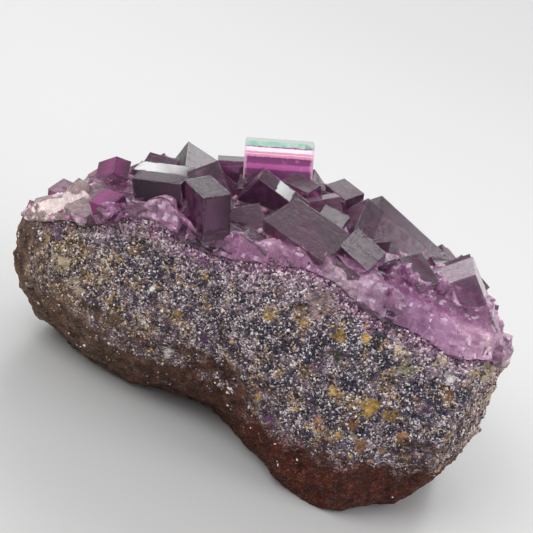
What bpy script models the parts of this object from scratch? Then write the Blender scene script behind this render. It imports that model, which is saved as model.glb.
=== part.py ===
"""A hand specimen of cube-shaped purple fluorite crystals on a piece of granular rock.

Two solids: the broken rock matrix, with a flat face to rest on, and the fluorite crust that
grew over its upper side, with its crystals joined to it. Lengths below are in millimetres in
a drawing frame: X along the specimen, Y away from its broken front, Z up from the table.
"""
import math
import random

import bmesh
import bpy
from mathutils import Euler, Matrix, Vector, noise

MM = 0.001
GAP = 0.3                     # between the matrix and the crust, across their contact
MERGE = 0.0015                # points closer than this are one

LEFT_END = -66.0
RIGHT_END = 24.2
END_BULGE = 1.0
SECTION_SPACING = 3.1
POINTS_PER_SPAN = 4
ROUGHNESS = ((10.0, 0.9), (4.5, 0.55))          # wavelength and height of the rock's lumps

# Guide lines of the broken block, each a row of (x, y, z), from the front foot over the top.
FRONT_FOOT = (
    (-66, 20, 12.5), (-61, 21, 5.5), (-55, 21, 2.5), (-50, 20.5, 0), (-46, 20, -1.5),
    (-38, 19.5, -1.5), (-30.5, 22, -1.5), (-24, 21.5, -1.5), (-18.5, 18.5, -1.5),
    (-15, 14, -1.5), (-10, 11, -1.5), (-6, 6, -1.5), (-2, 3, -1.5), (4, 0, -1.5),
    (11, 6.5, -1.5), (16, 11, -1.5), (20, 18, 0), (25.5, 23, 7),
)
LOWER_EDGE = (
    (-66, 17, 18), (-63, 13, 17), (-58, 11, 15), (-50, 9, 13), (-44.5, 8, 12),
    (-38, 7, 11), (-32, 6, 12), (-23, 3.5, 13), (-16, 0.5, 13), (-10, -2.5, 11),
    (-7.5, -3.5, 10), (-1, -4.5, 11.5), (4, -4.5, 13.5), (12, -3, 14.5), (19.5, 0, 14.5), (25.5, 9, 18),
)
CRUST_LINE = (
    (-66, 18, 24), (-64, 14, 26), (-58, 10, 30), (-51.5, 7.5, 33), (-47, 6, 36.5),
    (-41, 5, 38), (-35, 4, 37), (-30.5, 3, 37.5), (-24, 1.5, 38.5), (-17.5, 0, 41),
    (-14, -1, 42), (-7, -2, 41), (1, -3, 39), (10, -2, 38), (15, -1, 36), (19, 1, 37),
    (25.5, 9, 33),
)
CRUST_EDGE = (
    (-66, 20, 26), (-64, 17, 28), (-58, 14, 33), (-53, 12, 36.5), (-47, 11, 39.5),
    (-41, 10, 41.5), (-35, 9, 42), (-24, 7, 43), (-17, 6, 44), (-10, 5, 44), (2, 3, 44),
    (10, 3, 43), (15, 4, 42), (20, 6, 40), (25.5, 12, 35),
)
CRUST_TOP = (
    (-66, 26, 25), (-64, 25, 27), (-58, 25, 31.5), (-53, 24, 36), (-42, 25, 39.5),
    (-34, 25, 41), (-18, 25, 42), (-2, 25, 42), (6, 25, 41), (12, 25, 40), (18, 25, 37),
    (25.5, 24, 32),
)
CRUST_BACK = (
    (-66, 31, 22), (-62, 36, 23), (-56, 38, 27), (-50, 40, 31), (-42, 41, 34),
    (-26, 42, 36), (-10, 42, 37), (-2, 42, 37), (6, 42, 35), (12, 41, 34), (18, 38, 31),
    (25.5, 30, 28),
)
BACK_BULGE = (
    (-66, 32, 18), (-62, 38, 18), (-50, 45, 18), (-30, 48, 20), (-10, 47, 18),
    (5, 48, 20), (15, 45, 18), (25.5, 33, 18),
)
BACK_FOOT = (
    (-66, 27, 14), (-60, 33, 6), (-52, 37, 0), (-45, 40, -1.5), (-30, 43, -1.5),
    (-10, 42, -1.5), (5, 43, -1.5), (15, 40, -1.5), (20, 36, -0.5), (25.5, 28, 6),
)
GUIDES = (
    FRONT_FOOT, LOWER_EDGE, CRUST_LINE, CRUST_EDGE,
    CRUST_TOP, CRUST_BACK, BACK_BULGE, BACK_FOOT,
)

CONTACT_FALL = 0.2            # the contact drops towards the back, mm for each mm
CONTACT_LUMPS = (7.0, 1.3)
CONTACT_CELL = 2.8
CONTACT_MARGIN = 8.0          # how far the cutting blocks reach past the specimen's ends
CONTACT_DEPTH = (-12.0, 58.0)
FAR_BELOW, FAR_ABOVE = -20.0, 90.0

# The crystals that stand out, each (name, centre, edge lengths, turn in degrees).
CRYSTALS = (
    ("banded_cube", (-25, 31.5, 44), (12.7, 12.5, 12.7), (-17, -14.5, 6.5)),
    ("spire", (-39.3, 32, 35.5), (10, 12, 10), (4, 18, 11)),
    ("great_slab", (-0.5, 24, 40), (18.5, 10, 9), (45, 26, 10)),
    ("tall_facet", (-8.5, 16, 45), (4, 8.5, 8), (38, 22, 11)),
    ("octagon_face", (-6.5, 4.5, 45.5), (6.5, 6, 4.5), (-44, 14, -23)),
    ("front_plate", (-16, 6.2, 44), (13.5, 8.5, 5.5), (23, 2, -31)),
    ("twin_edge", (-24, 16.5, 44), (10.5, 3, 9), (26, 20, 4)),
    ("ridge_left", (-28, 24, 43), (4, 5.2, 6.7), (-10, 37, 1)),
    ("right_of_cube", (-19, 24.5, 43.5), (6.5, 3.5, 8), (24, -7, -37)),
    ("rose_block", (-15.5, 18, 46.5), (6, 4, 2.7), (-18, -22, 24)),
    ("rear_facet", (-11.5, 32.5, 42.5), (6, 4.5, 7), (17, 0, -44)),
    ("pale_back", (-18, 36, 42.5), (2.6, 4, 5), (37, -36, -19)),
    ("grey_facet", (-12.5, 12, 45.5), (5, 5, 4.5), (-43, -3, -25)),
    ("end_cube", (12.5, 7, 41.5), (10.2, 8, 13), (-2, -41, 4)),
    ("end_rear", (13.2, 14, 39.8), (9, 7, 13), (8, -39, 10)),
    ("end_foot", (11.5, 6.5, 38), (11, 7, 9), (-6, -30, 8)),
    ("violet_wedge", (0, 6, 40), (6, 7, 8), (18, -15, 37)),
    ("wedge_left", (-4.5, 5, 40.5), (5, 6, 6), (12, 20, -20)),
    ("rose_foot", (-12, 5, 41), (8, 5, 6), (20, 5, -30)),
    ("magenta_patch", (-17, 4, 41), (6, 5, 5), (30, 12, -25)),
    ("salmon_slab", (-22.5, 5.5, 39), (8, 6, 6), (10, 10, -20)),
    ("mid_block", (-27, 9, 40.5), (7, 6, 6), (25, -20, 30)),
    ("spark_facet", (3.5, 5, 44.5), (4.5, 7, 5), (18, -15, 37)),
    ("blade", (0, 4.5, 44.5), (1.8, 1.5, 4.7), (-28, -44, -19)),
    ("lower_facet", (-2, 2, 42.5), (3.4, 2, 3), (39, -34, -23)),
    ("end_lump", (21, 4.5, 38), (3.5, 4, 4), (12, -14, -25)),
    ("split_ridge", (-36, 20.5, 42), (6, 9, 6), (-30, -36, 19)),
    ("ridge_back", (-33, 28.5, 41), (5, 5.5, 8), (-12, -14, 10)),
    ("dark_column", (-34, 5, 43.5), (5, 8.5, 8.5), (-6, -15, 36)),
    ("white_strip", (-43.5, 19.5, 39.5), (10.5, 3.7, 6), (12, -18, -13)),
    ("lilac_slab", (-42.5, 8, 42.5), (9.5, 3.3, 5.5), (12, -19, -17)),
    ("back_step", (-45.5, 27, 39), (6, 2.7, 4.2), (34, -10, -16)),
    ("pink_fan", (-44, 8.5, 38), (7, 5, 5), (15, -25, -15)),
    ("pink_low", (-39.5, 7.5, 36.5), (6, 5, 5), (10, 30, 20)),
    ("rose_left", (-37, 8, 39), (6, 6, 6), (-20, 15, 30)),
    ("left_cube", (-53, 18, 39), (3.1, 6.5, 3.2), (-38, 12, 31)),
    ("magenta_chip", (-50.5, 6.5, 37.5), (4.7, 4.4, 2.6), (29, -14, -37)),
    ("striated_chip", (-49.5, 5, 36), (3, 2.7, 4.2), (36, 8, -33)),
    ("pale_slab", (-54.5, 9.5, 33), (5.5, 4.5, 2.5), (18, -7, -36)),
    ("pale_block", (-62, 16.5, 28.5), (3.3, 3.4, 2.2), (23, -11, -33)),
    ("pale_top", (-57.5, 16.5, 33.5), (3, 3.2, 2.6), (32, 1, -25)),
    ("pale_tip", (-64.5, 17, 26), (2, 2.6, 1.9), (24, -13, -27)),
)

# How high the crystals of the rear slope reach along the specimen, as (x, y, z).
REAR_SKYLINE = (
    (-66, 38, 14), (-60, 38, 20), (-54, 38, 28), (-44, 38, 36), (-36, 38, 40),
    (-20, 38, 42), (-12, 38, 43), (-4, 38, 41), (12, 38, 36), (20, 38, 31), (25, 38, 24),
)
SKYLINE_RISE = 0.45           # the limit rises towards the front, mm for each mm

FILL_COLUMNS = 16             # crystals that fill the upper side between those above
FILL_ROWS = 6
FILL_EDGE = (4.5, 8.5)
SHOWN_DEPTH = 24.0            # nearer than this the fill stays low, behind the named crystals
LOW_EDGE = (3.5, 5.5)
LARGE_BETWEEN = (-47.0, 17.0)  # outside this stretch the crystals are smaller
END_SIZE = 0.6
FILL_ROOM = 6.0
FILL_SUNK, FILL_RAISED = -0.25, 0.1             # centre to surface, in edge lengths
CORNER_REACH = 0.8                              # centre to highest corner, likewise
FRONT_BLOCKS = 30
BLOCK_EDGE = (3.5, 6.0)
BLOCK_ROOM = 4.5
BLOCK_RISE = (0.35, 0.85)     # where a block sits between the contact and the crust's edge
BLOCK_SETBACK = 0.22          # how far it is set back, in edge lengths
CLEAR_FRONT = (6.0, 21.0)     # one large crystal's face fills this stretch of the front
LARGEST_TURN = 0.8            # radians about each axis
SEED = 11
ROCK_SEED = 4

ROCK_COLOUR = (0.12, 0.10, 0.12, 1.0)
FLUORITE_COLOUR = (0.30, 0.12, 0.34, 1.0)


def clear_scene():
    for obj in list(bpy.data.objects):
        bpy.data.objects.remove(obj, do_unlink=True)


def make_material(name, colour, roughness, transmission):
    material = bpy.data.materials.new(name)
    material.use_nodes = True
    shader = material.node_tree.nodes["Principled BSDF"]
    shader.inputs["Base Color"].default_value = colour
    shader.inputs["Roughness"].default_value = roughness
    shader.inputs["Metallic"].default_value = 0.0
    shader.inputs["Transmission Weight"].default_value = transmission
    return material


def make_object(name, shape, material=None):
    mesh = bpy.data.meshes.new(name)
    shape.to_mesh(mesh)
    shape.free()
    obj = bpy.data.objects.new(name, mesh)
    bpy.context.scene.collection.objects.link(obj)
    if material:
        mesh.materials.append(material)
    return obj


def spline(before, start, end, after, t):
    """A Catmull-Rom curve from start to end."""
    return 0.5 * (
        2 * start
        + (end - before) * t
        + (2 * before - 5 * start + 4 * end - after) * t ** 2
        + (3 * start - before - 3 * end + after) * t ** 3
    )


def along(guide, x):
    """The point of a guide line at x, on a smooth curve through its rows."""
    rows = [Vector(row) for row in guide]
    last = len(rows) - 2
    i = max(0, min(last, sum(row.x <= x for row in rows) - 1))
    span = rows[i + 1].x - rows[i].x
    t = min(1.0, max(0.0, (x - rows[i].x) / span))
    before = rows[max(i - 1, 0)]
    after = rows[min(i + 2, last + 1)]
    point = spline(before, rows[i], rows[i + 1], after, t)
    point.x = x
    return point


def section(x):
    """One closed cross-section of the block, through its guide lines."""
    corners = [along(guide, x) for guide in GUIDES]
    count = len(corners)
    points = []
    for i in range(count):
        around = [corners[(i + k) % count] for k in (-1, 0, 1, 2)]
        points += [spline(*around, k / POINTS_PER_SPAN) for k in range(POINTS_PER_SPAN)]
    return points


def roughened(point):
    moved = point.copy()
    for wavelength, height in ROUGHNESS:
        moved += height * noise.noise_vector(point / wavelength)
    return moved


def broken_block():
    """The whole block, rock and crust together, cut flat where it rests."""
    shape = bmesh.new()
    steps = round((RIGHT_END - LEFT_END) / SECTION_SPACING)
    rings = []
    for i in range(steps + 1):
        x = LEFT_END + (RIGHT_END - LEFT_END) * i / steps
        rings.append([shape.verts.new(roughened(p) * MM) for p in section(x)])
    count = len(rings[0])
    for near, far in zip(rings, rings[1:]):
        for i in range(count):
            j = (i + 1) % count
            shape.faces.new((near[i], near[j], far[j], far[i]))
    for ring, outward in ((rings[0], -1), (rings[-1], 1)):
        middle = sum((v.co for v in ring), Vector()) / count
        tip = shape.verts.new(middle + Vector((outward * END_BULGE * MM, 0, 0)))
        for i in range(count):
            shape.faces.new((ring[i], ring[(i + 1) % count], tip))
    bmesh.ops.triangulate(shape, faces=shape.faces)
    cut = bmesh.ops.bisect_plane(
        shape, geom=shape.verts[:] + shape.edges[:] + shape.faces[:],
        plane_co=(0, 0, 0), plane_no=(0, 0, 1), clear_inner=True,
    )
    rim = [e for e in cut["geom_cut"] if isinstance(e, bmesh.types.BMEdge)]
    bmesh.ops.edgenet_fill(shape, edges=rim)
    bmesh.ops.triangulate(shape, faces=shape.faces)
    bmesh.ops.recalc_face_normals(shape, faces=shape.faces)
    return shape


def contact_height(x, y):
    """The height of the contact between the rock and the crust."""
    line = along(CRUST_LINE, max(LEFT_END, min(RIGHT_END, x)))
    wavelength, height = CONTACT_LUMPS
    lumps = height * noise.noise(Vector((x, y, 0)) / wavelength)
    return line.z - CONTACT_FALL * (y - line.y) + lumps


def contact_block(above, lift):
    """Everything above, or below, the contact surface, which is lifted by some mm."""
    left, right = LEFT_END - CONTACT_MARGIN, RIGHT_END + CONTACT_MARGIN
    front, back = CONTACT_DEPTH
    columns = round((right - left) / CONTACT_CELL)
    rows = round((back - front) / CONTACT_CELL)
    far_z = FAR_ABOVE if above else FAR_BELOW
    shape = bmesh.new()
    sheets = []
    for flat in (False, True):
        sheet = []
        for i in range(columns + 1):
            x = left + (right - left) * i / columns
            line = []
            for j in range(rows + 1):
                y = front + (back - front) * j / rows
                z = far_z if flat else contact_height(x, y) + lift
                line.append(shape.verts.new(Vector((x, y, z)) * MM))
            sheet.append(line)
        sheets.append(sheet)
    for sheet in sheets:
        for i in range(columns):
            for j in range(rows):
                corners = (sheet[i][j], sheet[i + 1][j], sheet[i + 1][j + 1], sheet[i][j + 1])
                shape.faces.new(corners)
    near, far = sheets
    for i in range(columns):
        for j in (0, rows):
            shape.faces.new((near[i][j], near[i + 1][j], far[i + 1][j], far[i][j]))
    for j in range(rows):
        for i in (0, columns):
            shape.faces.new((near[i][j], near[i][j + 1], far[i][j + 1], far[i][j]))
    bmesh.ops.triangulate(shape, faces=shape.faces)
    bmesh.ops.recalc_face_normals(shape, faces=shape.faces)
    return shape


def crystal_shape(centre, edges, turn):
    shape = bmesh.new()
    placed = Matrix.Translation(Vector(centre) * MM) @ turn.to_matrix().to_4x4()
    sized = Matrix.Diagonal([edge * MM for edge in edges]).to_4x4()
    bmesh.ops.create_cube(shape, size=1.0, matrix=placed @ sized)
    return shape


def named_crystals():
    shapes = []
    for name, centre, edges, degrees in CRYSTALS:
        turn = Euler([math.radians(value) for value in degrees])
        shapes.append((name, crystal_shape(centre, edges, turn)))
    return shapes


def any_turn(chance):
    return Euler([chance.uniform(-LARGEST_TURN, LARGEST_TURN) for _ in range(3)])


def upper_side(x, part_way):
    """A point on the crust's upper side, part of the way from its front edge to its back."""
    edge, top, back = (along(guide, x) for guide in (CRUST_EDGE, CRUST_TOP, CRUST_BACK))
    if part_way < 0.5:
        return edge.lerp(top, part_way * 2)
    return top.lerp(back, part_way * 2 - 1)


def is_taken(place, room):
    """Whether a named crystal's centre is nearer than the room that a new one needs."""
    return any((place - Vector(centre)).length < room for _, centre, _, _ in CRYSTALS)


def fill_crystals(chance):
    """Crystals over the whole upper side, kept under the skyline that the front shows."""
    shapes = []
    for i in range(FILL_COLUMNS):
        for j in range(FILL_ROWS):
            along_x = (i + chance.uniform(0.1, 0.9)) / FILL_COLUMNS
            x = LEFT_END + 2 + (RIGHT_END - LEFT_END - 4) * along_x
            centre = upper_side(x, (j + chance.uniform(0.2, 0.9)) / FILL_ROWS)
            shown = centre.y < SHOWN_DEPTH
            edge = chance.uniform(*(LOW_EDGE if shown else FILL_EDGE))
            if not LARGE_BETWEEN[0] < x < LARGE_BETWEEN[1]:
                edge *= END_SIZE
            limit = along(REAR_SKYLINE, x).z + SKYLINE_RISE * (38 - centre.y)
            sunk = centre.z + FILL_SUNK * edge
            raised = min(centre.z + FILL_RAISED * edge, limit - CORNER_REACH * edge)
            centre.z = sunk if shown else max(sunk, raised)
            edges = [edge * chance.uniform(0.85, 1.1) for _ in range(3)]
            turn = any_turn(chance)
            if not (shown and is_taken(centre, FILL_ROOM)):
                shapes.append((f"fill_{i}_{j}", crystal_shape(centre, edges, turn)))
    return shapes


def front_blocks(chance):
    """Broken blocks of crust along the front, low enough to show only their corners."""
    shapes = []
    for i in range(FRONT_BLOCKS):
        x = LEFT_END + 4 + (RIGHT_END - LEFT_END - 8) * (i + 0.5) / FRONT_BLOCKS
        edge = chance.uniform(*BLOCK_EDGE)
        if CLEAR_FRONT[0] < x < CLEAR_FRONT[1]:
            continue
        line = along(CRUST_LINE, x)
        rim = along(CRUST_EDGE, x)
        centre = line.lerp(rim, chance.uniform(*BLOCK_RISE))
        centre.y += BLOCK_SETBACK * edge
        edges = [edge * chance.uniform(0.9, 1.1) for _ in range(3)]
        turn = any_turn(chance)
        if not is_taken(centre, BLOCK_ROOM):
            shapes.append((f"block_{i}", crystal_shape(centre, edges, turn)))
    return shapes


def combine(target, operation, others):
    """Join the other objects to the target or cut them from it, and remove them."""
    operands = bpy.data.collections.new("operands")
    bpy.context.scene.collection.children.link(operands)
    for other in others:
        operands.objects.link(other)
    modifier = target.modifiers.new(operation.title(), "BOOLEAN")
    modifier.operation = operation
    modifier.solver = "EXACT"
    modifier.operand_type = "COLLECTION"
    modifier.collection = operands
    depsgraph = bpy.context.evaluated_depsgraph_get()
    result = bpy.data.meshes.new_from_object(target.evaluated_get(depsgraph))
    target.modifiers.remove(modifier)
    target.data = result
    for other in others:
        bpy.data.objects.remove(other, do_unlink=True)
    bpy.data.collections.remove(operands)


def tidy_mesh(obj):
    """Remove the slivers that the cuts leave, and split every face into triangles."""
    shape = bmesh.new()
    shape.from_mesh(obj.data)
    bmesh.ops.remove_doubles(shape, verts=shape.verts, dist=MERGE * MM)
    bmesh.ops.dissolve_degenerate(shape, edges=shape.edges, dist=MERGE * MM)
    bmesh.ops.triangulate(shape, faces=shape.faces)
    shape.to_mesh(obj.data)
    shape.free()


def keep_largest(obj):
    """Remove loose crumbs that a cut may leave beside the main body."""
    shape = bmesh.new()
    shape.from_mesh(obj.data)
    unseen = set(shape.verts)
    bodies = []
    while unseen:
        body, waiting = set(), [unseen.pop()]
        while waiting:
            vert = waiting.pop()
            body.add(vert)
            for edge in vert.link_edges:
                other = edge.other_vert(vert)
                if other in unseen:
                    unseen.remove(other)
                    waiting.append(other)
        bodies.append(body)
    bodies.sort(key=len)
    for body in bodies[:-1]:
        bmesh.ops.delete(shape, geom=list(body), context="VERTS")
    shape.to_mesh(obj.data)
    shape.free()


def stand_on_origin(objects):
    """Put the middle of the whole box's floor at the origin."""
    points = [v.co for obj in objects for v in obj.data.vertices]
    low = Vector([min(p[k] for p in points) for k in range(3)])
    high = Vector([max(p[k] for p in points) for k in range(3)])
    middle = (low + high) / 2
    shift = Matrix.Translation((-middle.x, -middle.y, -low.z))
    for obj in objects:
        obj.data.transform(shift)


def main():
    clear_scene()
    noise.seed_set(ROCK_SEED)
    rock = make_material("rock", ROCK_COLOUR, 0.8, 0.0)
    fluorite = make_material("fluorite", FLUORITE_COLOUR, 0.1, 0.6)

    matrix = make_object("matrix", broken_block(), rock)
    combine(matrix, "DIFFERENCE", [make_object("upper", contact_block(True, 0.0))])

    crust = make_object("fluorite_crust", broken_block(), fluorite)
    chance = random.Random(SEED)
    shapes = named_crystals() + fill_crystals(chance) + front_blocks(chance)
    combine(crust, "UNION", [make_object(name, shape) for name, shape in shapes])
    combine(crust, "DIFFERENCE", [make_object("lower", contact_block(False, GAP))])

    for obj in (matrix, crust):
        tidy_mesh(obj)
        keep_largest(obj)
    stand_on_origin((matrix, crust))


main()
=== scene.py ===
"""The looks of a fluorite specimen: purple cubes grown over a piece of granular rock.

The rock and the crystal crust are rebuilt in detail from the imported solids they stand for,
with sugary grains over the rock and small broken chips between the crystals.
"""
import math
import random

import bmesh
import bpy
import numpy as np
from mathutils import Euler, Matrix, Vector, kdtree, noise
from mathutils.bvhtree import BVHTree


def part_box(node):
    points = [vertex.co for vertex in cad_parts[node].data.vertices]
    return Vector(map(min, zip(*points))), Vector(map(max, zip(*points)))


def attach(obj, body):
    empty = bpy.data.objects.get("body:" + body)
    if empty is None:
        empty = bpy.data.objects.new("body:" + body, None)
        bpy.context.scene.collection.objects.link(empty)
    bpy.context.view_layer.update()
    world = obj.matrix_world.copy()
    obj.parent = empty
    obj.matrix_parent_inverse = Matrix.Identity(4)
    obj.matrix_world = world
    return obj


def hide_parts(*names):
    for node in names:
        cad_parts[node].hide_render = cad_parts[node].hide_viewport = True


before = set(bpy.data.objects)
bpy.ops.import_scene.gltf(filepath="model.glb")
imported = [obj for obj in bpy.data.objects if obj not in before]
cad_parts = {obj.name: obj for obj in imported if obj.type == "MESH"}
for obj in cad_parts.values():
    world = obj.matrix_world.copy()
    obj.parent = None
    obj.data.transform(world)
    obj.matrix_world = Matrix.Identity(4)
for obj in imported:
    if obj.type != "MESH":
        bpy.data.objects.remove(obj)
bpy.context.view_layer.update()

bl_info = {
    "name": "Fluorite specimen",
    "version": (1, 0, 0),
    "blender": (4, 5, 0),
    "location": "3D View > Sidebar > Specimen",
    "description": "Builds a fluorite specimen on its matrix, and the stage around it",
    "category": "Object",
}

MM = 0.001
ROCK_NODE = "matrix"
CRUST_NODE = "fluorite_crust"
SEED = 7

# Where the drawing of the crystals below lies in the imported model's own frame.
DRAWING_SHIFT = Vector((21.02, -21.79, 0.0))

# The crystals that stand out: (name, tint, centre, edge lengths, turn in degrees), in mm.
CRYSTALS = (
    ("banded_cube", "banded", (-25, 31.5, 44), (12.7, 12.5, 12.7), (-17, -14.5, 6.5)),
    ("spire", "grey", (-39.3, 32, 35.5), (10, 12, 10), (4, 18, 11)),
    ("great_slab", "mauve", (-0.5, 24, 40), (18.5, 10, 9), (45, 26, 10)),
    ("tall_facet", "violet", (-8.5, 16, 45), (4, 8.5, 8), (38, 22, 11)),
    ("octagon_face", "slate", (-6.5, 4.5, 45.5), (6.5, 6, 4.5), (-44, 14, -23)),
    ("front_plate", "mauve", (-16, 6.2, 44), (13.5, 8.5, 5.5), (23, 2, -31)),
    ("twin_edge", "violet", (-24, 16.5, 44), (10.5, 3, 9), (26, 20, 4)),
    ("ridge_left", "plum", (-28, 24, 43), (4, 5.2, 6.7), (-10, 37, 1)),
    ("right_of_cube", "rose", (-19, 24.5, 43.5), (6.5, 3.5, 8), (24, -7, -37)),
    ("rose_block", "rose", (-15.5, 18, 46.5), (6, 4, 2.7), (-18, -22, 24)),
    ("rear_facet", "slate", (-11.5, 32.5, 42.5), (6, 4.5, 7), (17, 0, -44)),
    ("pale_back", "pale", (-18, 36, 42.5), (2.6, 4, 5), (37, -36, -19)),
    ("grey_facet", "slate", (-12.5, 12, 45.5), (5, 5, 4.5), (-43, -3, -25)),
    ("end_cube", "lilac", (12.5, 7, 41.5), (10.2, 8, 13), (-2, -41, 4)),
    ("end_rear", "violet", (13.2, 14, 39.8), (9, 7, 13), (8, -39, 10)),
    ("end_foot", "rose", (11.5, 6.5, 38), (11, 7, 9), (-6, -30, 8)),
    ("violet_wedge", "plum", (0, 6, 40), (6, 7, 8), (18, -15, 37)),
    ("wedge_left", "violet", (-4.5, 5, 40.5), (5, 6, 6), (12, 20, -20)),
    ("rose_foot", "slate", (-12, 5, 41), (8, 5, 6), (20, 5, -30)),
    ("magenta_patch", "plum", (-17, 4, 41), (6, 5, 5), (30, 12, -25)),
    ("salmon_slab", "rose", (-22.5, 5.5, 39), (8, 6, 6), (10, 10, -20)),
    ("mid_block", "rose", (-27, 9, 40.5), (7, 6, 6), (25, -20, 30)),
    ("spark_facet", "slate", (3.5, 5, 44.5), (4.5, 7, 5), (18, -15, 37)),
    ("blade", "slate", (0, 4.5, 44.5), (1.8, 1.5, 4.7), (-28, -44, -19)),
    ("lower_facet", "mauve", (-2, 2, 42.5), (3.4, 2, 3), (39, -34, -23)),
    ("end_lump", "pale", (21, 4.5, 38), (3.5, 4, 4), (12, -14, -25)),
    ("split_ridge", "violet", (-36, 20.5, 42), (6, 9, 6), (-30, -36, 19)),
    ("ridge_back", "plum", (-33, 28.5, 41), (5, 5.5, 8), (-12, -14, 10)),
    ("dark_column", "plum", (-34, 5, 43.5), (5, 8.5, 8.5), (-6, -15, 36)),
    ("white_strip", "pale", (-43.5, 19.5, 39.5), (10.5, 3.7, 6), (12, -18, -13)),
    ("lilac_slab", "plum", (-42.5, 8, 42.5), (9.5, 3.3, 5.5), (12, -19, -17)),
    ("back_step", "slate", (-45.5, 27, 39), (6, 2.7, 4.2), (34, -10, -16)),
    ("pink_fan", "rose", (-44, 8.5, 38), (7, 5, 5), (15, -25, -15)),
    ("pink_low", "rose", (-39.5, 7.5, 36.5), (6, 5, 5), (10, 30, 20)),
    ("rose_left", "rose", (-37, 8, 39), (6, 6, 6), (-20, 15, 30)),
    ("left_cube", "violet", (-53, 18, 39), (3.1, 6.5, 3.2), (-38, 12, 31)),
    ("magenta_chip", "magenta", (-50.5, 6.5, 37.5), (4.7, 4.4, 2.6), (29, -14, -37)),
    ("striated_chip", "mauve", (-49.5, 5, 36), (3, 2.7, 4.2), (36, 8, -33)),
    ("pale_slab", "cream", (-54.5, 9.5, 33), (5.5, 4.5, 2.5), (18, -7, -36)),
    ("pale_block", "cream", (-62, 16.5, 28.5), (3.3, 3.4, 2.2), (23, -11, -33)),
    ("pale_top", "cream", (-57.5, 16.5, 33.5), (3, 3.2, 2.6), (32, 1, -25)),
    ("pale_tip", "cream", (-64.5, 17, 26), (2, 2.6, 1.9), (24, -13, -27)),
)

TINTS = {
    "banded": (0.30, 0.10, 0.24),
    "violet": (0.30, 0.15, 0.27),
    "plum": (0.14, 0.045, 0.11),
    "mauve": (0.38, 0.26, 0.35),
    "slate": (0.30, 0.27, 0.30),
    "grey": (0.10, 0.09, 0.10),
    "rose": (0.50, 0.25, 0.38),
    "magenta": (0.50, 0.03, 0.30),
    "lilac": (0.62, 0.42, 0.58),
    "pale": (0.90, 0.84, 0.88),
    "cream": (0.95, 0.90, 0.85),
}
COMMON_TINTS = ("violet", "plum", "mauve", "slate", "violet", "plum", "rose")

# The cloudy roots of the crystals along the specimen: (x in mm, colour, how far they show).
ROOT_TINTS = (
    (-46, (0.60, 0.48, 0.46), 0.75), (-38, (0.52, 0.43, 0.41), 0.65),
    (-33, (0.50, 0.38, 0.40), 0.8), (-30, (0.30, 0.03, 0.22), 0.9),
    (-27, (0.36, 0.07, 0.27), 0.8), (-24, (0.60, 0.40, 0.51), 0.9),
    (-20, (0.62, 0.45, 0.54), 1.0), (-16, (0.34, 0.15, 0.26), 0.9),
    (-12, (0.12, 0.03, 0.095), 0.6), (-8, (0.19, 0.06, 0.155), 0.8),
    (-3, (0.40, 0.21, 0.32), 0.9), (2, (0.50, 0.32, 0.39), 1.0),
    (6, (0.20, 0.05, 0.15), 0.6), (11, (0.34, 0.25, 0.28), 1.0),
    (17, (0.25, 0.14, 0.22), 1.0), (22, (0.11, 0.035, 0.095), 1.0),
    (28, (0.21, 0.085, 0.185), 1.0), (34, (0.30, 0.15, 0.26), 1.0),
    (40, (0.42, 0.25, 0.34), 1.0), (46, (0.62, 0.46, 0.48), 1.0),
)
ROOT_TOP = (0.15, 0.045, 0.12)                  # the dark crystal that the roots run into

# Places on the rock that differ from the rest: (kind, place, radius), in mm.
SPOTS = (
    ("ochre", (-23.5, -16, 31), 0.7), ("cream", (-16, -17.5, 30), 0.9),
    ("white", (-17.5, -17, 26), 0.5), ("ochre", (-11, -18, 30), 0.4),
    ("ochre", (-11.5, -18, 23.5), 0.7), ("cream", (-4.5, -20, 30), 0.5),
    ("ochre", (3, -22.5, 31), 0.9), ("cream", (-27, -15, 22.5), 0.7),
    ("white", (-27.5, -15, 26), 0.5), ("ochre", (-39, -10.5, 25), 0.8),
    ("cream", (-35, -12.5, 22), 1.6), ("cream", (-31, -13.5, 19), 1.4),
    ("white", (-17, -16.5, 18.5), 0.7), ("white", (-12, -16.5, 14.5), 0.9),
    ("white", (-2.5, -20, 20), 0.5), ("white", (-1.5, -21, 25.5), 0.5),
    ("cream", (-8, -18.5, 25.5), 0.5), ("ochre", (9, -24, 33), 0.7),
    ("green", (16.5, -25.5, 30.5), 1.2), ("ochre", (15.5, -25, 33.5), 0.9),
    ("ochre", (19.5, -25.5, 35), 0.7), ("lime", (28, -25, 32), 1.3),
    ("ochre", (6.5, -22.5, 15.5), 0.7), ("ochre", (18.5, -26.5, 23.5), 1.1),
    ("ochre", (24.5, -26, 23), 1.4), ("ochre", (28.5, -26, 23), 1.3),
    ("rust", (36.5, -24, 29.5), 0.9), ("cream", (39.5, -22.5, 33.5), 1.3),
    ("rust", (31.5, -25.5, 20), 0.9), ("cream", (42, -19.5, 34), 1.8),
    ("cream", (44.5, -15.5, 28), 1.6), ("tan", (11, -24, 37), 2.4),
    ("plum", (9.5, -23.5, 13), 1.1), ("cream", (26, -25, 35), 1.1),
    ("rust", (22.5, -26.5, 19), 1.1), ("cream", (24, -26.5, 17), 0.7),
    ("cream", (33, -24, 35), 1.1), ("plum", (-38, -11, 27.5), 1.8),
    ("white", (35.5, -23.5, 32.5), 0.9), ("ochre", (13.5, -25.5, 17.5), 0.8),
    ("rust", (17.5, -26.5, 16.5), 1.2), ("ochre", (21, -27, 16), 0.9),
    ("rust", (26, -27, 16), 1.3), ("ochre", (29.5, -26.5, 15.5), 0.8),
    ("rust", (33.5, -25.5, 15.5), 1.0), ("plum", (1, -21, 14), 1.0),
    ("plum", (-6, -18.5, 21), 1.3), ("plum", (14, -25, 27), 1.2), ("plum", (33, -25, 26), 1.3),
)
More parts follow.
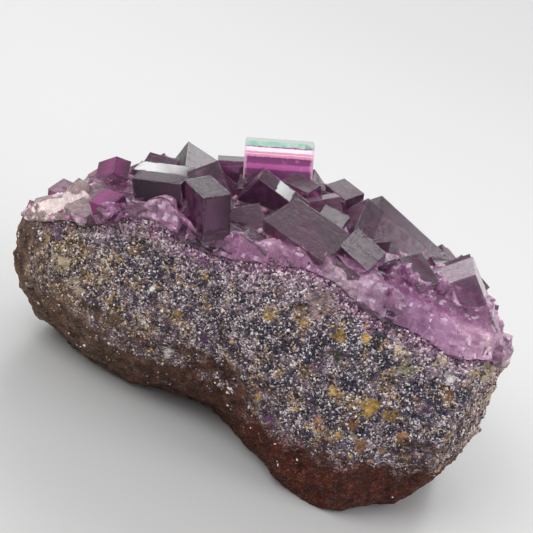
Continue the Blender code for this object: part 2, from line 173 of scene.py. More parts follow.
SPOT_TINTS = {
    "ochre": (0.56, 0.34, 0.09), "cream": (0.60, 0.48, 0.33), "white": (0.80, 0.77, 0.74),
    "green": (0.10, 0.10, 0.06), "lime": (0.34, 0.32, 0.17), "rust": (0.36, 0.17, 0.07),
    "tan": (0.40, 0.27, 0.26), "plum": (0.14, 0.07, 0.14),
}

ROCK_CELL = 0.5               # spacing of the rock's points, mm
ROCK_RELIEF = ((9.0, 0.7), (3.2, 0.55), (1.3, 0.45))    # wavelength and height, mm
GRAIN_WAVE, GRAIN_RELIEF = 1.5, 0.40            # spacing and height of the coarse grains, mm
UNDER_CRUST, BASE_FADE = 1.2, 1.5               # where the relief fades out, mm
GRAIN_SUNK, GRAIN_UNEVEN = 0.22, 0.22           # of a grain's size: how deep, how uneven
CHIP_SUNK, CHIP_UNEVEN = 0.2, 0.12              # the same of the chips
CONTACT_SINK = 0.55           # how far the crust's underside goes into the rock, mm
ROOT_CELL = 0.55              # spacing of the cloudy roots' points, mm
ROOT_DEPTH, ROOT_WANDER = 3.2, 2.2              # thickness of the cloudy layer, mm
ROOT_INSET, ROOT_PROUD = 1.0, -0.30             # how far it lies under the crust's surface, mm
ROOT_FACETS = (0.055, 0.42, (-0.25, 0.20))      # share of the points, tilt, lift in mm
ROOT_LOWEST = -0.22                             # how deep the facets may sink, mm
ROOT_SHARP = math.radians(20.0)                 # least angle of a crisp edge between facets
BROKEN_CELL = 0.7             # spacing of points on the crust's broken faces, mm
BROKEN_FACETS = (0.03, 0.20, (-0.50, -0.10))    # as for the roots
BROKEN_DEEPEST, BROKEN_HIGHEST = -0.9, 0.0      # limits of the broken relief, mm
MINT_DEPTH, MINT_PROUD, MINT_RAGGED = 0.85, 0.03, 0.22      # the green zone, mm

# Skins over crystal faces, etched or strongly coloured, and on two tops a painted reflection
# of the pale backdrop: (crystal, axis and side of the face, spans along its own two
# directions as shares of their half lengths, the colours at one end and at the other).
FULL = (-0.98, 0.98)
FROSTED_AND_SHEEN = (
    # The grey-white tops of white_strip and twin_edge are a painted reflection of the pale
    # backdrop.
    ("white_strip", 2, 1, FULL, (-0.95, 0.95), (0.56, 0.56, 0.56), (0.12, 0.10, 0.115)),
    ("twin_edge", 2, 1, (-0.34, 0.30), (-0.95, 0.95), (0.46, 0.46, 0.46), (0.30, 0.28, 0.30)),
    ("dark_column", 2, 1, FULL, FULL, (0.075, 0.060, 0.070), (0.05, 0.036, 0.045)),
    ("lilac_slab", 2, 1, FULL, (-0.96, 0.96), (0.085, 0.070, 0.080), (0.05, 0.036, 0.045)),
    ("spire", 1, -1, FULL, FULL, (0.10, 0.088, 0.10), (0.20, 0.18, 0.20)),
    ("spire", 0, -1, FULL, FULL, (0.055, 0.045, 0.05), (0.11, 0.10, 0.11)),
    ("dark_column", 1, -1, FULL, (-0.5, 0.98), (0.085, 0.035, 0.07), (0.022, 0.009, 0.018)),
    ("lilac_slab", 1, -1, FULL, (-0.7, 0.98), (0.030, 0.018, 0.026), (0.055, 0.020, 0.045)),
    ("left_cube", 1, -1, FULL, FULL, (0.15, 0.025, 0.10), (0.04, 0.018, 0.034)),
    ("left_cube", 0, -1, FULL, FULL, (0.20, 0.05, 0.14), (0.10, 0.03, 0.07)),
    ("magenta_chip", 1, -1, FULL, FULL, (0.24, 0.025, 0.15), (0.10, 0.02, 0.07)),
    ("magenta_chip", 2, 1, FULL, FULL, (0.21, 0.05, 0.145), (0.10, 0.04, 0.08)),
)
SKIN_PROUD, SKIN_SUNK = 0.03, 0.05              # how far the skins stand out and reach in, mm
BAND_STEPS, BAND_DEPTH = 40, 7.0                # the colour bands, count and mm
# Painted reflection: crystal faces that look up are greyed towards slate, standing for the pale
# backdrop they mirror.
UPWARD, BACKDROP_SHEEN = 0.35, 0.6    # faces that look up are greyer: least normal z and share
SHALLOW = math.radians(28)    # most angle between facets of one broken face
BROKEN, CONTACT = 1, 2        # kinds of face of the crust, besides the plain ones
FLUORITE_IOR = 1.434
TINY = 1e-18                  # keeps a division by an area off zero

# The stage's lights: (name, place in m, width and height in m, power in W), and their aim.
LIGHTS = (
    ("key", (-0.32, -0.30, 0.52), (0.45, 0.45), 3.4),
    ("back", (0.10, 0.55, 0.42), (0.90, 0.60), 2.8),
    ("side", (0.55, -0.10, 0.25), (0.25, 0.40), 1.6),
)
FLOOR_HALF, FLOOR_DROP, FLOOR_ROUGHNESS = 2.0, 0.02, 0.35   # half length in m, drop in mm
SENSOR_WIDTH, NEAREST_SEEN = 36.0, 0.01         # the camera's, mm and m
LIGHTS_AIM = Vector((0.0, 0.0, 0.03))
SKY_COLOUR, SKY_STRENGTH = (0.9, 0.9, 0.9, 1.0), 0.92
CAMERA_PLACE = Vector((-0.07, -235.50, 134.66))     # mm


def specimen(part):
    return getattr(bpy.context.scene, "specimen_" + part)


def colour_property(name, description, value):
    return bpy.props.FloatVectorProperty(
        name=name, description=description, subtype="COLOR", size=3,
        min=0.0, max=1.0, default=value,
    )


def length_property(name, description, millimetres):
    return bpy.props.FloatProperty(
        name=name, description=description, default=millimetres * MM,
        subtype="DISTANCE", unit="LENGTH", precision=5,
    )


class SPECIMEN_PG_rock(bpy.types.PropertyGroup):
    grain_size: length_property("Grain size", "Size of the sugary grains", 0.38)
    dark: colour_property("Dark", "Navy-black grains", (0.010, 0.009, 0.018))
    bright: colour_property("Bright", "Cream-white grains", (0.80, 0.73, 0.70))
    slate: colour_property("Slate", "Dark blue-violet patches", (0.075, 0.062, 0.098))
    mauve: colour_property("Mauve", "Common mauve-grey of the rock", (0.27, 0.20, 0.24))
    lilac: colour_property("Lilac", "Paler rock under the crust", (0.42, 0.29, 0.38))
    brown: colour_property("Brown", "Browner rock at the narrow end", (0.20, 0.14, 0.11))
    tan: colour_property("Tan", "Pinkish tan at the thick end", (0.44, 0.31, 0.28))
    ochre: colour_property("Ochre", "Ochre grains and spots", (0.50, 0.30, 0.09))
    rind: colour_property("Rind", "Weathered brown rind", (0.16, 0.090, 0.062))
    iron: colour_property("Iron", "Iron-stained underside", (0.082, 0.015, 0.006))
    dark_count: bpy.props.IntProperty(
        name="Dark grains", description="Number of dark grains", default=15000, min=100)
    bright_count: bpy.props.IntProperty(
        name="Bright grains", description="Number of bright grains", default=13000, min=100)
    ochre_count: bpy.props.IntProperty(
        name="Ochre grains", description="Number of ochre grains", default=1600, min=10)


class SPECIMEN_PG_fluorite(bpy.types.PropertyGroup):
    inner: colour_property("Inner colour", "Colour that light keeps inside", (0.70, 0.12, 0.60))
    density: bpy.props.FloatProperty(
        name="Absorption", description="Absorption inside the crystal, per metre",
        default=95.0, min=0.0)
    clearness: bpy.props.FloatProperty(
        name="Clearness", description="Share of the light that goes through",
        default=0.86, min=0.0, max=1.0, subtype="FACTOR")
    edge_width: length_property("Edge width", "Width of the worn crystal edges", 0.14)
    chip_count: bpy.props.IntProperty(
        name="Chips", description="Number of small chips on the broken faces",
        default=160, min=10)


class SPECIMEN_PG_stage(bpy.types.PropertyGroup):
    elevation: bpy.props.FloatProperty(
        name="Elevation", description="How far the camera looks down",
        default=math.radians(24.0), subtype="ANGLE", unit="ROTATION")
    roll: bpy.props.FloatProperty(
        name="Roll", description="Turn of the camera about its own axis",
        default=math.radians(20.0), subtype="ANGLE", unit="ROTATION")
    lens: bpy.props.FloatProperty(
        name="Lens", description="Focal length", default=93.81, subtype="DISTANCE_CAMERA")
    floor: colour_property("Floor", "Pale floor", (0.42, 0.42, 0.42))


def fill(tree, node, inputs):
    """Give a node's inputs their values, or link them to the sockets that feed them."""
    for key, value in inputs.items():
        if isinstance(value, bpy.types.NodeSocket):
            tree.links.new(value, node.inputs[key])
        else:
            node.inputs[key].default_value = value


def add(tree, kind, inputs=None, **settings):
    """A new node with its settings and its inputs."""
    node = tree.nodes.new(kind)
    for key, value in settings.items():
        setattr(node, key, value)
    fill(tree, node, inputs or {})
    return node


def opaque(colour):
    return (*colour, 1.0)


def mixed(tree, factor, first, second):
    node = add(tree, "ShaderNodeMix", {0: factor, 6: first, 7: second}, data_type="RGBA")
    return node.outputs[2]


def ranged(tree, value, low, high, to_low=0.0, to_high=1.0):
    node = add(tree, "ShaderNodeMapRange", {0: value, 1: low, 2: high, 3: to_low, 4: to_high})
    return node.outputs[0]


def maths(tree, operation, first, second=0.0):
    return add(tree, "ShaderNodeMath", {0: first, 1: second}, operation=operation).outputs[0]


def plus(tree, first, second):
    return maths(tree, "ADD", first, second)


def less(tree, first, second):
    return maths(tree, "SUBTRACT", first, second)


def times(tree, first, second):
    return maths(tree, "MULTIPLY", first, second)


def unsigned(tree, value):
    return maths(tree, "ABSOLUTE", value)


def noisy(tree, vector, wavelength, detail=3.0, roughness=0.5, distortion=0.0):
    """Noise with a wavelength in mm, from 0 to 1."""
    inputs = {"Vector": vector, "Scale": 1 / (wavelength * MM), "Detail": detail,
              "Roughness": roughness, "Distortion": distortion}
    return add(tree, "ShaderNodeTexNoise", inputs).outputs[0]


def place_on(tree, output="Object"):
    return add(tree, "ShaderNodeTexCoord").outputs[output]


def attribute(tree, name, output="Color"):
    return add(tree, "ShaderNodeAttribute", attribute_name=name).outputs[output]


def parts(tree, vector):
    return add(tree, "ShaderNodeSeparateXYZ", {0: vector}).outputs


def vector_of(tree, x, y, z):
    return add(tree, "ShaderNodeCombineXYZ", {0: x, 1: y, 2: z}).outputs[0]


def scaled(tree, vector, factor):
    inputs = {0: vector, "Scale": factor}
    return add(tree, "ShaderNodeVectorMath", inputs, operation="SCALE").outputs[0]


def relief(tree, height, strength, depth, **more):
    """The normal of a surface with relief, its depth in mm."""
    inputs = {"Height": height, "Strength": strength, "Distance": depth * MM, **more}
    return add(tree, "ShaderNodeBump", inputs).outputs[0]


def new_group(name, inputs, outputs):
    """An empty node group with number inputs (name, value) and number outputs (name)."""
    group = bpy.data.node_groups.new(name, "ShaderNodeTree")
    for label, value in inputs:
        socket = group.interface.new_socket(
            label, in_out="INPUT", socket_type="NodeSocketFloat")
        socket.default_value = value
    for label in outputs:
        group.interface.new_socket(label, in_out="OUTPUT", socket_type="NodeSocketFloat")
    start, end = group.nodes.new("NodeGroupInput"), group.nodes.new("NodeGroupOutput")
    return group, start.outputs, end


def placed_group(tree, group, values):
    return add(tree, "ShaderNodeGroup", values, node_tree=group).outputs


def new_material(name):
    material = bpy.data.materials.new(name)
    material.use_nodes = True
    tree = material.node_tree
    return material, tree, tree.nodes["Principled BSDF"]


def grain_group():
    """Fine speckle of a sugary surface: a value for each grain and the height between them."""
    if "sugary_grain" in bpy.data.node_groups:
        return bpy.data.node_groups["sugary_grain"]
    group, given, end = new_group("sugary_grain", [("Scale", 1800.0)], ("Tone", "Height"))
    place = place_on(group)
    grain = add(group, "ShaderNodeTexVoronoi", {"Vector": place, "Scale": given["Scale"]})
    fill(group, end, {
        "Tone": parts(group, grain.outputs["Color"])[0],
        "Height": less(group, noisy(group, place, 0.35, 2.0, 0.6), grain.outputs["Distance"]),
    })
    return group


def rock_material():
    """Sugary rock: its zones' colours, broken into navy and cream grains, and a dull rind."""
    rock = specimen("rock")
    material, tree, shader = new_material("sugary_rock")
    place = place_on(tree)
    zoned = add(tree, "ShaderNodeAttribute", attribute_name="zone").outputs
    zone, grained = zoned["Color"], zoned["Alpha"]
    grain = placed_group(tree, grain_group(), {"Scale": 1.15 / rock.grain_size})
    uneven = ranged(tree, noisy(tree, place, 1.8, 5.0, 0.65), 0.28, 0.72, 0.35, 1.5)
    rough = ranged(tree, noisy(tree, place, 0.28, 2.0, 0.7), 0.2, 0.8, -0.25, 0.25)
    ragged = plus(tree, grain["Tone"], rough)
    bright = times(tree, ranged(tree, ragged, 0.76, 0.92), grained)
    deep = times(tree, ranged(tree, ragged, 0.46, 0.22), grained)
    colour = scaled(tree, zone, uneven)
    colour = mixed(tree, times(tree, bright, 0.8), colour, opaque(rock.bright))
    colour = mixed(tree, times(tree, deep, 0.85), colour, opaque(rock.dark))
    threads = unsigned(tree, less(tree, noisy(tree, place, 1.6, 3.0, 0.55, 0.8), 0.5))
    gate = ranged(tree, noisy(tree, place, 1.9, 2.0, 0.5), 0.52, 0.58)
    threads = times(tree, times(tree, ranged(tree, threads, 0.016, 0.006), gate), grained)
    colour = mixed(tree, times(tree, threads, 0.75), colour, opaque(rock.bright))
    stain = ranged(tree, noisy(tree, place, 3.0, 5.0, 0.65, 0.6), 0.40, 0.62)
    bare = times(tree, less(tree, 1.0, grained), 0.65)
    colour = mixed(tree, times(tree, stain, bare), colour, (0.012, 0.006, 0.004, 1))
    fill(tree, shader, {
        "Base Color": colour, "Roughness": ranged(tree, grain["Tone"], 0, 1, 0.95, 0.55),
        "Specular IOR Level": 0.2, "Normal": relief(tree, grain["Height"], 0.9, 0.35),
    })
    return material


def grain_material(name, colour, towards_zone, roughness, clearness):
    """Loose-looking grains that run from their own colour to that of the rock around them."""
    material, tree, shader = new_material(name)
    share = times(tree, attribute(tree, "grain_tone", "Fac"), towards_zone)
    speckle = placed_group(tree, grain_group(), {"Scale": 4000.0})
    fill(tree, shader, {
        "Base Color": mixed(tree, share, opaque(colour), attribute(tree, "zone")),
        "Roughness": ranged(tree, speckle["Tone"], 0, 1, roughness * 0.7, roughness * 1.3),
        "Transmission Weight": clearness, "Specular IOR Level": 0.3,
        "Normal": relief(tree, speckle["Height"], 0.4, 0.08),
    })
    return material


def growth_group():
    """Growth lines, steps and cracks of a crystal face, along the face's own edges."""
    if "crystal_growth" in bpy.data.node_groups:
        return bpy.data.node_groups["crystal_growth"]
    group, given, end = new_group(
        "crystal_growth", [("Line spacing", 0.35)], ("Lines", "Steps", "Cracks", "Rim"))
    u, v, _ = parts(group, attribute(group, "face_plan", "Vector"))
    half_u, half_v, chance = parts(group, attribute(group, "face_size", "Vector"))
    far_u = less(group, half_u, unsigned(group, u))
    far_v = less(group, half_v, unsigned(group, v))
    offset = times(group, chance, 91.0)
    fine = maths(group, "DIVIDE", 1.0, given["Line spacing"])
    lines = []
    for x, y, low in ((times(group, u, 0.12), v, 0.56), (u, times(group, v, 0.12), 0.60)):
        drawn = add(group, "ShaderNodeTexNoise", {
            "Vector": vector_of(group, x, y, offset), "Scale": fine, "Detail": 2.0})
        lines.append(ranged(group, drawn.outputs[0], low, low + 0.16))
    whole = vector_of(group, u, v, offset)
    blocks = add(group, "ShaderNodeTexVoronoi", {"Vector": whole, "Scale": 0.45},
                 distance="CHEBYCHEV").outputs["Color"]
    cracks = add(group, "ShaderNodeTexVoronoi", {"Vector": whole, "Scale": 0.55},
                 feature="DISTANCE_TO_EDGE").outputs["Distance"]
    gate = add(group, "ShaderNodeTexNoise", {"Vector": whole, "Scale": 0.4, "Detail": 1.0})
    fill(group, end, {
        "Lines": maths(group, "MAXIMUM", *lines), "Steps": parts(group, blocks)[0],
        "Cracks": times(group, ranged(group, cracks, 0.035, 0.0),
                        ranged(group, gate.outputs[0], 0.48, 0.56)),
        "Rim": ranged(group, maths(group, "MINIMUM", far_u, far_v), 0.07, 0.16, 1.0, 0.0),
    })
    return group


# The banded cube's colours by depth: (share of the bands' depth, colour, cover).
BAND_STOPS = (
    (0.0, (0.42, 0.12, 0.36), 0.9), (0.150, (0.42, 0.12, 0.36), 0.9),
    (0.160, (0.97, 0.86, 0.93), 0.95), (0.255, (0.96, 0.80, 0.89), 0.95),
    (0.270, (0.82, 0.38, 0.54), 0.85), (0.315, (0.80, 0.34, 0.52), 0.85),
    (0.325, (0.97, 0.84, 0.90), 0.9), (0.340, (0.80, 0.34, 0.52), 0.85),
    (0.395, (0.74, 0.26, 0.46), 0.8), (0.410, (0.20, 0.045, 0.15), 0.75),
    (0.560, (0.26, 0.06, 0.20), 0.7), (0.600, (0.60, 0.13, 0.42), 0.7),
    (0.700, (0.55, 0.12, 0.39), 0.65), (0.740, (0.22, 0.05, 0.17), 0.5),
    (1.0, (0.20, 0.05, 0.15), 0.0),
)


def band_material():
    """The banded cube's zones: pale, red-pink and deep purple bands, fading downwards."""
    material, tree, shader = new_material("growth_bands")
    place = place_on(tree)
    depth = attribute(tree, "depth", "Fac")
    ragged = ranged(tree, noisy(tree, place, 0.9, 4.0, 0.7), 0.3, 0.7, -0.10, 0.10)
    along = maths(tree, "DIVIDE", plus(tree, depth, ragged), BAND_DEPTH)
    bands = add(tree, "ShaderNodeValToRGB", {0: along})
    elements = bands.color_ramp.elements
    for element, (position, colour, cover) in zip(elements, (BAND_STOPS[0], BAND_STOPS[-1])):
        element.position, element.color = position, (*colour, cover)
    for position, colour, cover in BAND_STOPS[1:-1]:
        elements.new(position).color = (*colour, cover)
    patches = ranged(tree, noisy(tree, place, 2.4, 3.0, 0.6), 0.54, 0.66)
    patched = times(tree, patches, ranged(tree, depth, 2.9, 3.4))
    colour = mixed(tree, patched, bands.outputs["Color"], (0.70, 0.19, 0.50, 1))
    across = unsigned(tree, parts(tree, attribute(tree, "face_plan", "Vector"))[0])
    rim = ranged(tree, plus(tree, across, times(tree, ragged, 0.3)), 0.90, 0.96)
    fill(tree, shader, {
        "Base Color": mixed(tree, times(tree, rim, 0.75), colour, (0.84, 0.50, 0.68, 1)),
        "Alpha": maths(tree, "MAXIMUM", bands.outputs["Alpha"], times(tree, rim, 0.6)),
        "Roughness": ranged(tree, patches, 0, 1, 0.08, 0.2), "IOR": FLUORITE_IOR,
        "Normal": relief(tree, noisy(tree, place, 0.7, 3.0, 0.6), 0.1, 0.05),
    })
    return material


def fluorite_material():
    """Clear purple crystal: each face's own tint, growth lines, veils, and a painted highlight
    along its edges.
    """
    look = specimen("fluorite")
    material, tree, shader = new_material("fluorite_crystal")
    place = place_on(tree)
    broken = attribute(tree, "broken", "Fac")
    growth = placed_group(tree, growth_group(), {"Line spacing": 0.35})
    wander = ranged(tree, noisy(tree, place, 2.5, 4.0, 0.6, 0.6), 0.2, 0.8, -2.0, 2.0)
    share = ranged(tree, plus(tree, attribute(tree, "rise", "Fac"), wander), 2.0, 9.5)
    deep = ranged(tree, noisy(tree, place, 4.5, 3.0, 0.55, 1.0), 0.48, 0.66, 0.0, 0.75)
    body = mixed(tree, deep, attribute(tree, "tint"), (0.20, 0.03, 0.14, 1))
    colour = mixed(tree, share, attribute(tree, "zone"), body)
    colour = mixed(tree, times(tree, growth["Lines"], 0.30), colour, (0.88, 0.74, 0.82, 1))
    colour = mixed(tree, times(tree, growth["Cracks"], 0.6), colour, (0.24, 0.10, 0.20, 1))
    # Painted highlight: a pale, broken line along each crystal face's edges.
    edge_highlight = ranged(tree, noisy(tree, place, 1.8, 3.0, 0.6), 0.42, 0.58)
    edge_highlight = times(tree, times(tree, growth["Rim"], edge_highlight), 0.8)
    scuffed = ranged(tree, noisy(tree, place, 1.1, 4.0, 0.7), 0.5, 0.75, 0.03, 0.30)
    soft = add(tree, "ShaderNodeBevel", {"Radius": look.edge_width}, samples=4)
    height = plus(tree, times(tree, growth["Lines"], 0.35), times(tree, growth["Steps"], 0.6))
    height = less(tree, height, times(tree, growth["Cracks"], 0.8))
    stepped = relief(tree, height, 0.30, 0.08, Normal=soft.outputs[0])
    chipped = relief(tree, noisy(tree, place, 0.9, 4.0, 0.7),
                     ranged(tree, broken, 0, 1, 0.08, 0.55), 0.35, Normal=stepped)
    fill(tree, shader, {
        "Base Color": mixed(tree, edge_highlight, colour, (0.92, 0.86, 0.90, 1)),
        "Roughness": plus(tree, scuffed, times(tree, broken, 0.12)),
        "IOR": FLUORITE_IOR, "Transmission Weight": look.clearness, "Normal": chipped,
    })
    inside = add(tree, "ShaderNodeVolumeAbsorption", {
        "Color": opaque(look.inner), "Density": look.density})
    fill(tree, tree.nodes["Material Output"], {"Volume": inside.outputs[0]})
    return material


def root_material():
    """The cloudy crystal near the rock: pink to plum, waxy and full of fine fractures."""
    material, tree, shader = new_material("cloudy_roots")
    place = place_on(tree)
    zone = attribute(tree, "zone")
    light = mixed(tree, 0.15, scaled(tree, zone, 1.9), (0.95, 0.82, 0.88, 1))
    drawn = add(tree, "ShaderNodeVectorMath", {0: place, 1: (1.0, 1.0, 0.25)},
                operation="MULTIPLY").outputs[0]
    veil = noisy(tree, place, 2.4, 7.0, 0.65, 1.4)
    fibres = noisy(tree, drawn, 0.45, 4.0, 0.7, 0.5)
    colour = zone
    for pattern, low, high, cover, tone in (
            (veil, 0.48, 0.75, 0.6, light), (veil, 0.46, 0.28, 0.45, (0.20, 0.06, 0.16, 1)),
            (fibres, 0.54, 0.76, 0.55, light), (fibres, 0.44, 0.28, 0.5, (0.13, 0.035, 0.10, 1))):
        colour = mixed(tree, ranged(tree, pattern, low, high, 0.0, cover), colour, tone)
    speckle = placed_group(tree, grain_group(), {"Scale": 1500.0})
    fill(tree, shader, {
        "Base Color": colour, "Roughness": ranged(tree, speckle["Tone"], 0, 1, 0.12, 0.5),
        "Coat Weight": 0.5, "Subsurface Weight": 0.35,
        "Subsurface Radius": (1.0, 0.45, 0.8), "Subsurface Scale": 1.5 * MM,
        "Normal": relief(tree, speckle["Height"], 0.35, 0.2),
    })
    return material


def mint_material():
    """The thin mint-green growth zone over the banded cube, dark-specked, with painted shade
    darkening and greying its upward faces.
    """
    material, tree, shader = new_material("mint_zone")
    speckle = placed_group(tree, grain_group(), {"Scale": 700.0})
    tone = noisy(tree, place_on(tree), 2.2, 3.0, 0.6)
    colour = mixed(tree, ranged(tree, tone, 0.35, 0.65), (0.22, 0.50, 0.36, 1),
                   (0.50, 0.62, 0.56, 1))
    specks = times(tree, ranged(tree, speckle["Tone"], 0.90, 0.96), 0.7)
    colour = mixed(tree, specks, colour, (0.06, 0.10, 0.08, 1))
    # Painted shade: faces that look up are darkened towards grey.
    shaded_top = ranged(tree, parts(tree, place_on(tree, "Normal"))[2], 0.6, 0.9)
    fill(tree, shader, {
        "Base Color": mixed(tree, times(tree, shaded_top, 0.8), colour, (0.15, 0.21, 0.20, 1)),
        "Roughness": ranged(tree, tone, 0.3, 0.7, 0.25, 0.5),
        "IOR": FLUORITE_IOR, "Coat Weight": 0.5,
        "Normal": relief(tree, speckle["Height"], 0.3, 0.1),
    })
    return material


def frosted_and_sheen_material():
    """An etched skin that runs from one colour to another and thins out at its edges; on two tops
    its colours are a painted reflection.
    """
    material, tree, shader = new_material("frosted_and_sheen_face")
    place = place_on(tree)
    u, v, _ = parts(tree, attribute(tree, "face_plan", "Vector"))
    wave = ranged(tree, noisy(tree, place, 3.0, 3.0, 0.6), 0.2, 0.8, -0.5, 0.5)
    share = ranged(tree, plus(tree, u, wave), -0.4, 1.2)
    from_edge = less(tree, 1.0, maths(tree, "MAXIMUM", unsigned(tree, u), unsigned(tree, v)))
    uneven = ranged(tree, noisy(tree, place, 0.9, 5.0, 0.7), 0.3, 0.7, -0.22, 0.10)
    speckle = placed_group(tree, grain_group(), {"Scale": 2200.0})
    scratches = placed_group(tree, growth_group(), {"Line spacing": 0.2})["Lines"]
    fill(tree, shader, {
        "Base Color": mixed(tree, share, attribute(tree, "tint"), attribute(tree, "zone")),
        "Alpha": ranged(tree, plus(tree, from_edge, uneven), -0.10, 0.05, 0.0, 0.93),
        "Roughness": ranged(tree, speckle["Tone"], 0, 1, 0.35, 0.6),
        "Specular IOR Level": 0.25,
        "Normal": relief(tree, plus(tree, speckle["Height"], scratches), 0.3, 0.05),
    })
    return material


def chip_material():
    """Small splinters of the same crystal, white to magenta."""
    material, tree, shader = new_material("fluorite_chips")
    ramp = add(tree, "ShaderNodeValToRGB", {0: attribute(tree, "grain_tone", "Fac")})
    ramp.color_ramp.elements[0].color = (0.30, 0.08, 0.22, 1)
    ramp.color_ramp.elements[1].color = (0.95, 0.86, 0.90, 1)
    ramp.color_ramp.elements.new(0.45).color = (0.72, 0.34, 0.52, 1)
    speckle = placed_group(tree, grain_group(), {"Scale": 2500.0})
    fill(tree, shader, {
        "Base Color": ramp.outputs[0], "IOR": FLUORITE_IOR, "Transmission Weight": 0.6,
        "Roughness": ranged(tree, speckle["Tone"], 0, 1, 0.05, 0.3),
        "Normal": relief(tree, speckle["Height"], 0.2, 0.08),
    })
    return material


def new_piece(name, mesh, material, node):
    """Put a finished mesh in the scene as a piece that stands for a node of the solid."""
    piece = bpy.data.objects.new(name, mesh)
    bpy.context.scene.collection.objects.link(piece)
    mesh.materials.clear()
    mesh.materials.append(material)
    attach(piece, "root")
    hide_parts(node)
    return piece


def vertex_values(mesh, kind):
    """A mesh's points ("co") or its normals there ("normal"), one row each."""
    flat = np.empty(len(mesh.vertices) * 3, np.float32)
    mesh.vertices.foreach_get(kind, flat)
    return flat.reshape(-1, 3).astype(float)


def moved(mesh, points, name):
    """Move a mesh's points and shade it smoothly."""
    mesh.vertices.foreach_set("co", points.astype(np.float32).ravel())
    mesh.polygons.foreach_set("use_smooth", [True] * len(mesh.polygons))
    mesh.update()
    mesh.name = name


def finished_mesh(shape, name):
    mesh = bpy.data.meshes.new(name)
    shape.to_mesh(mesh)
    shape.free()
    return mesh


def solid_tree(node):
    shape = bmesh.new()
    shape.from_mesh(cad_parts[node].data)
    tree = BVHTree.FromBMesh(shape)
    shape.free()
    return tree


def evenly_meshed(mesh, cell):
    """A copy of a closed mesh with its points about one cell apart."""
    holder = bpy.data.objects.new("holder", mesh.copy())
    bpy.context.scene.collection.objects.link(holder)
    modifier = holder.modifiers.new("Remesh", "REMESH")
    modifier.mode = "VOXEL"
    modifier.voxel_size = cell * MM
    depsgraph = bpy.context.evaluated_depsgraph_get()
    result = bpy.data.meshes.new_from_object(holder.evaluated_get(depsgraph))
    bpy.data.objects.remove(holder, do_unlink=True)
    return result


def smooth_step(low, high, value):
    share = np.clip((value - low) / (high - low), 0.0, 1.0)
    return share * share * (3 - 2 * share)


def blended(first, second, share):
    return first + (np.array(second) - first) * share[:, None]


def wandering(places, wavelength, offset=0.0):
    """Uneven values over places in mm, about -1 to 1, the same on every run."""
    shift = Vector((offset, 0, 0))
    return np.array([
        noise.fractal(Vector(place) / wavelength + shift, 0.8, 2.0, 3) for place in places])


def reach(tree, points):
    """How far each point is from a solid's surface, in mm."""
    return np.array([tree.find_nearest(Vector(point))[3] for point in points]) / MM


def rock_zones(points, normals):
    """The colour of each place on the rock, and how strongly it breaks into grains."""
    look = specimen("rock")
    places = points / MM
    x, _, z = places.T
    under_crust = reach(solid_tree(CRUST_NODE), points)
    broad = wandering(places, 8.0)
    fine = wandering(places, 2.6, 40.0)
    colour = np.tile(np.array(look.slate), (len(points), 1))
    colour = blended(colour, look.mauve, smooth_step(-0.35, 0.35, fine + 0.6 * broad))
    pale = 1 - smooth_step(0.5, 6.5, under_crust - 3.0 * broad - 1.5 * fine)
    colour = blended(colour, look.lilac, pale)
    stained = 1 - smooth_step(0.4, 3.4, under_crust - 2.0 * fine)
    colour = blended(colour, TINTS["banded"], 0.75 * stained)
    colour = blended(colour, look.brown, 0.75 * smooth_step(-20, -38, x + 6 * broad))
    colour = blended(colour, look.tan, 0.8 * smooth_step(38, 45, x + 4 * fine))
    patches = wandering(places, 3.5, 90.0) + 0.25 * smooth_step(-8, -24, x)
    patches = smooth_step(0.25, 0.45, patches + 0.3 * fine) * (1 - pale)
    colour = blended(colour, look.ochre, 0.45 * patches)
    down = smooth_step(0.0, -0.45, normals[:, 2] + 0.15 * fine)
    end = smooth_step(-0.35, -0.75, normals[:, 0] + 0.15 * fine)
    low = smooth_step(13.0, 9.0, z + 3.0 * broad)
    rind = np.maximum(np.maximum(down, end), 0.6 * low)
    colour = blended(colour, look.rind, rind)
    iron = smooth_step(-8, 8, x) * smooth_step(14.5, 9.5, z + 2.5 * broad + 2.0 * fine)
    iron = np.maximum(iron, 0.7 * down * smooth_step(-30, 0, x))
    colour = blended(colour, look.iron, iron)
    grained = 1 - 0.93 * np.maximum(rind, iron)
    ragged = wandering(places, 1.2, 140.0)
    broken_up = wandering(places, 0.8, 170.0)
    for kind, centre, radius in SPOTS:
        away = np.linalg.norm(places - np.array(centre), axis=1) + 0.9 * radius * ragged
        share = 1 - smooth_step(0.85 * radius, 1.35 * radius, away)
        share = share * smooth_step(-0.4, -0.15, broken_up)
        colour = blended(colour, SPOT_TINTS[kind], share)
        grained = grained * (1 - 0.93 * share)
    return np.clip(np.column_stack([colour, grained]), 0.0, 1.0)


def near_crystals(points):
    """How far each point is from the nearest of the placed crystals, in mm."""
    nearest = np.full(len(points), np.inf)
    for row in CRYSTALS:
        crystal = Crystal(*row[1:])
        local = (points - np.array(crystal.centre)) @ np.array(crystal.axes)
        outside = np.maximum(np.abs(local) - np.array(crystal.half), 0.0)
        nearest = np.minimum(nearest, np.linalg.norm(outside, axis=1))
    return nearest / MM


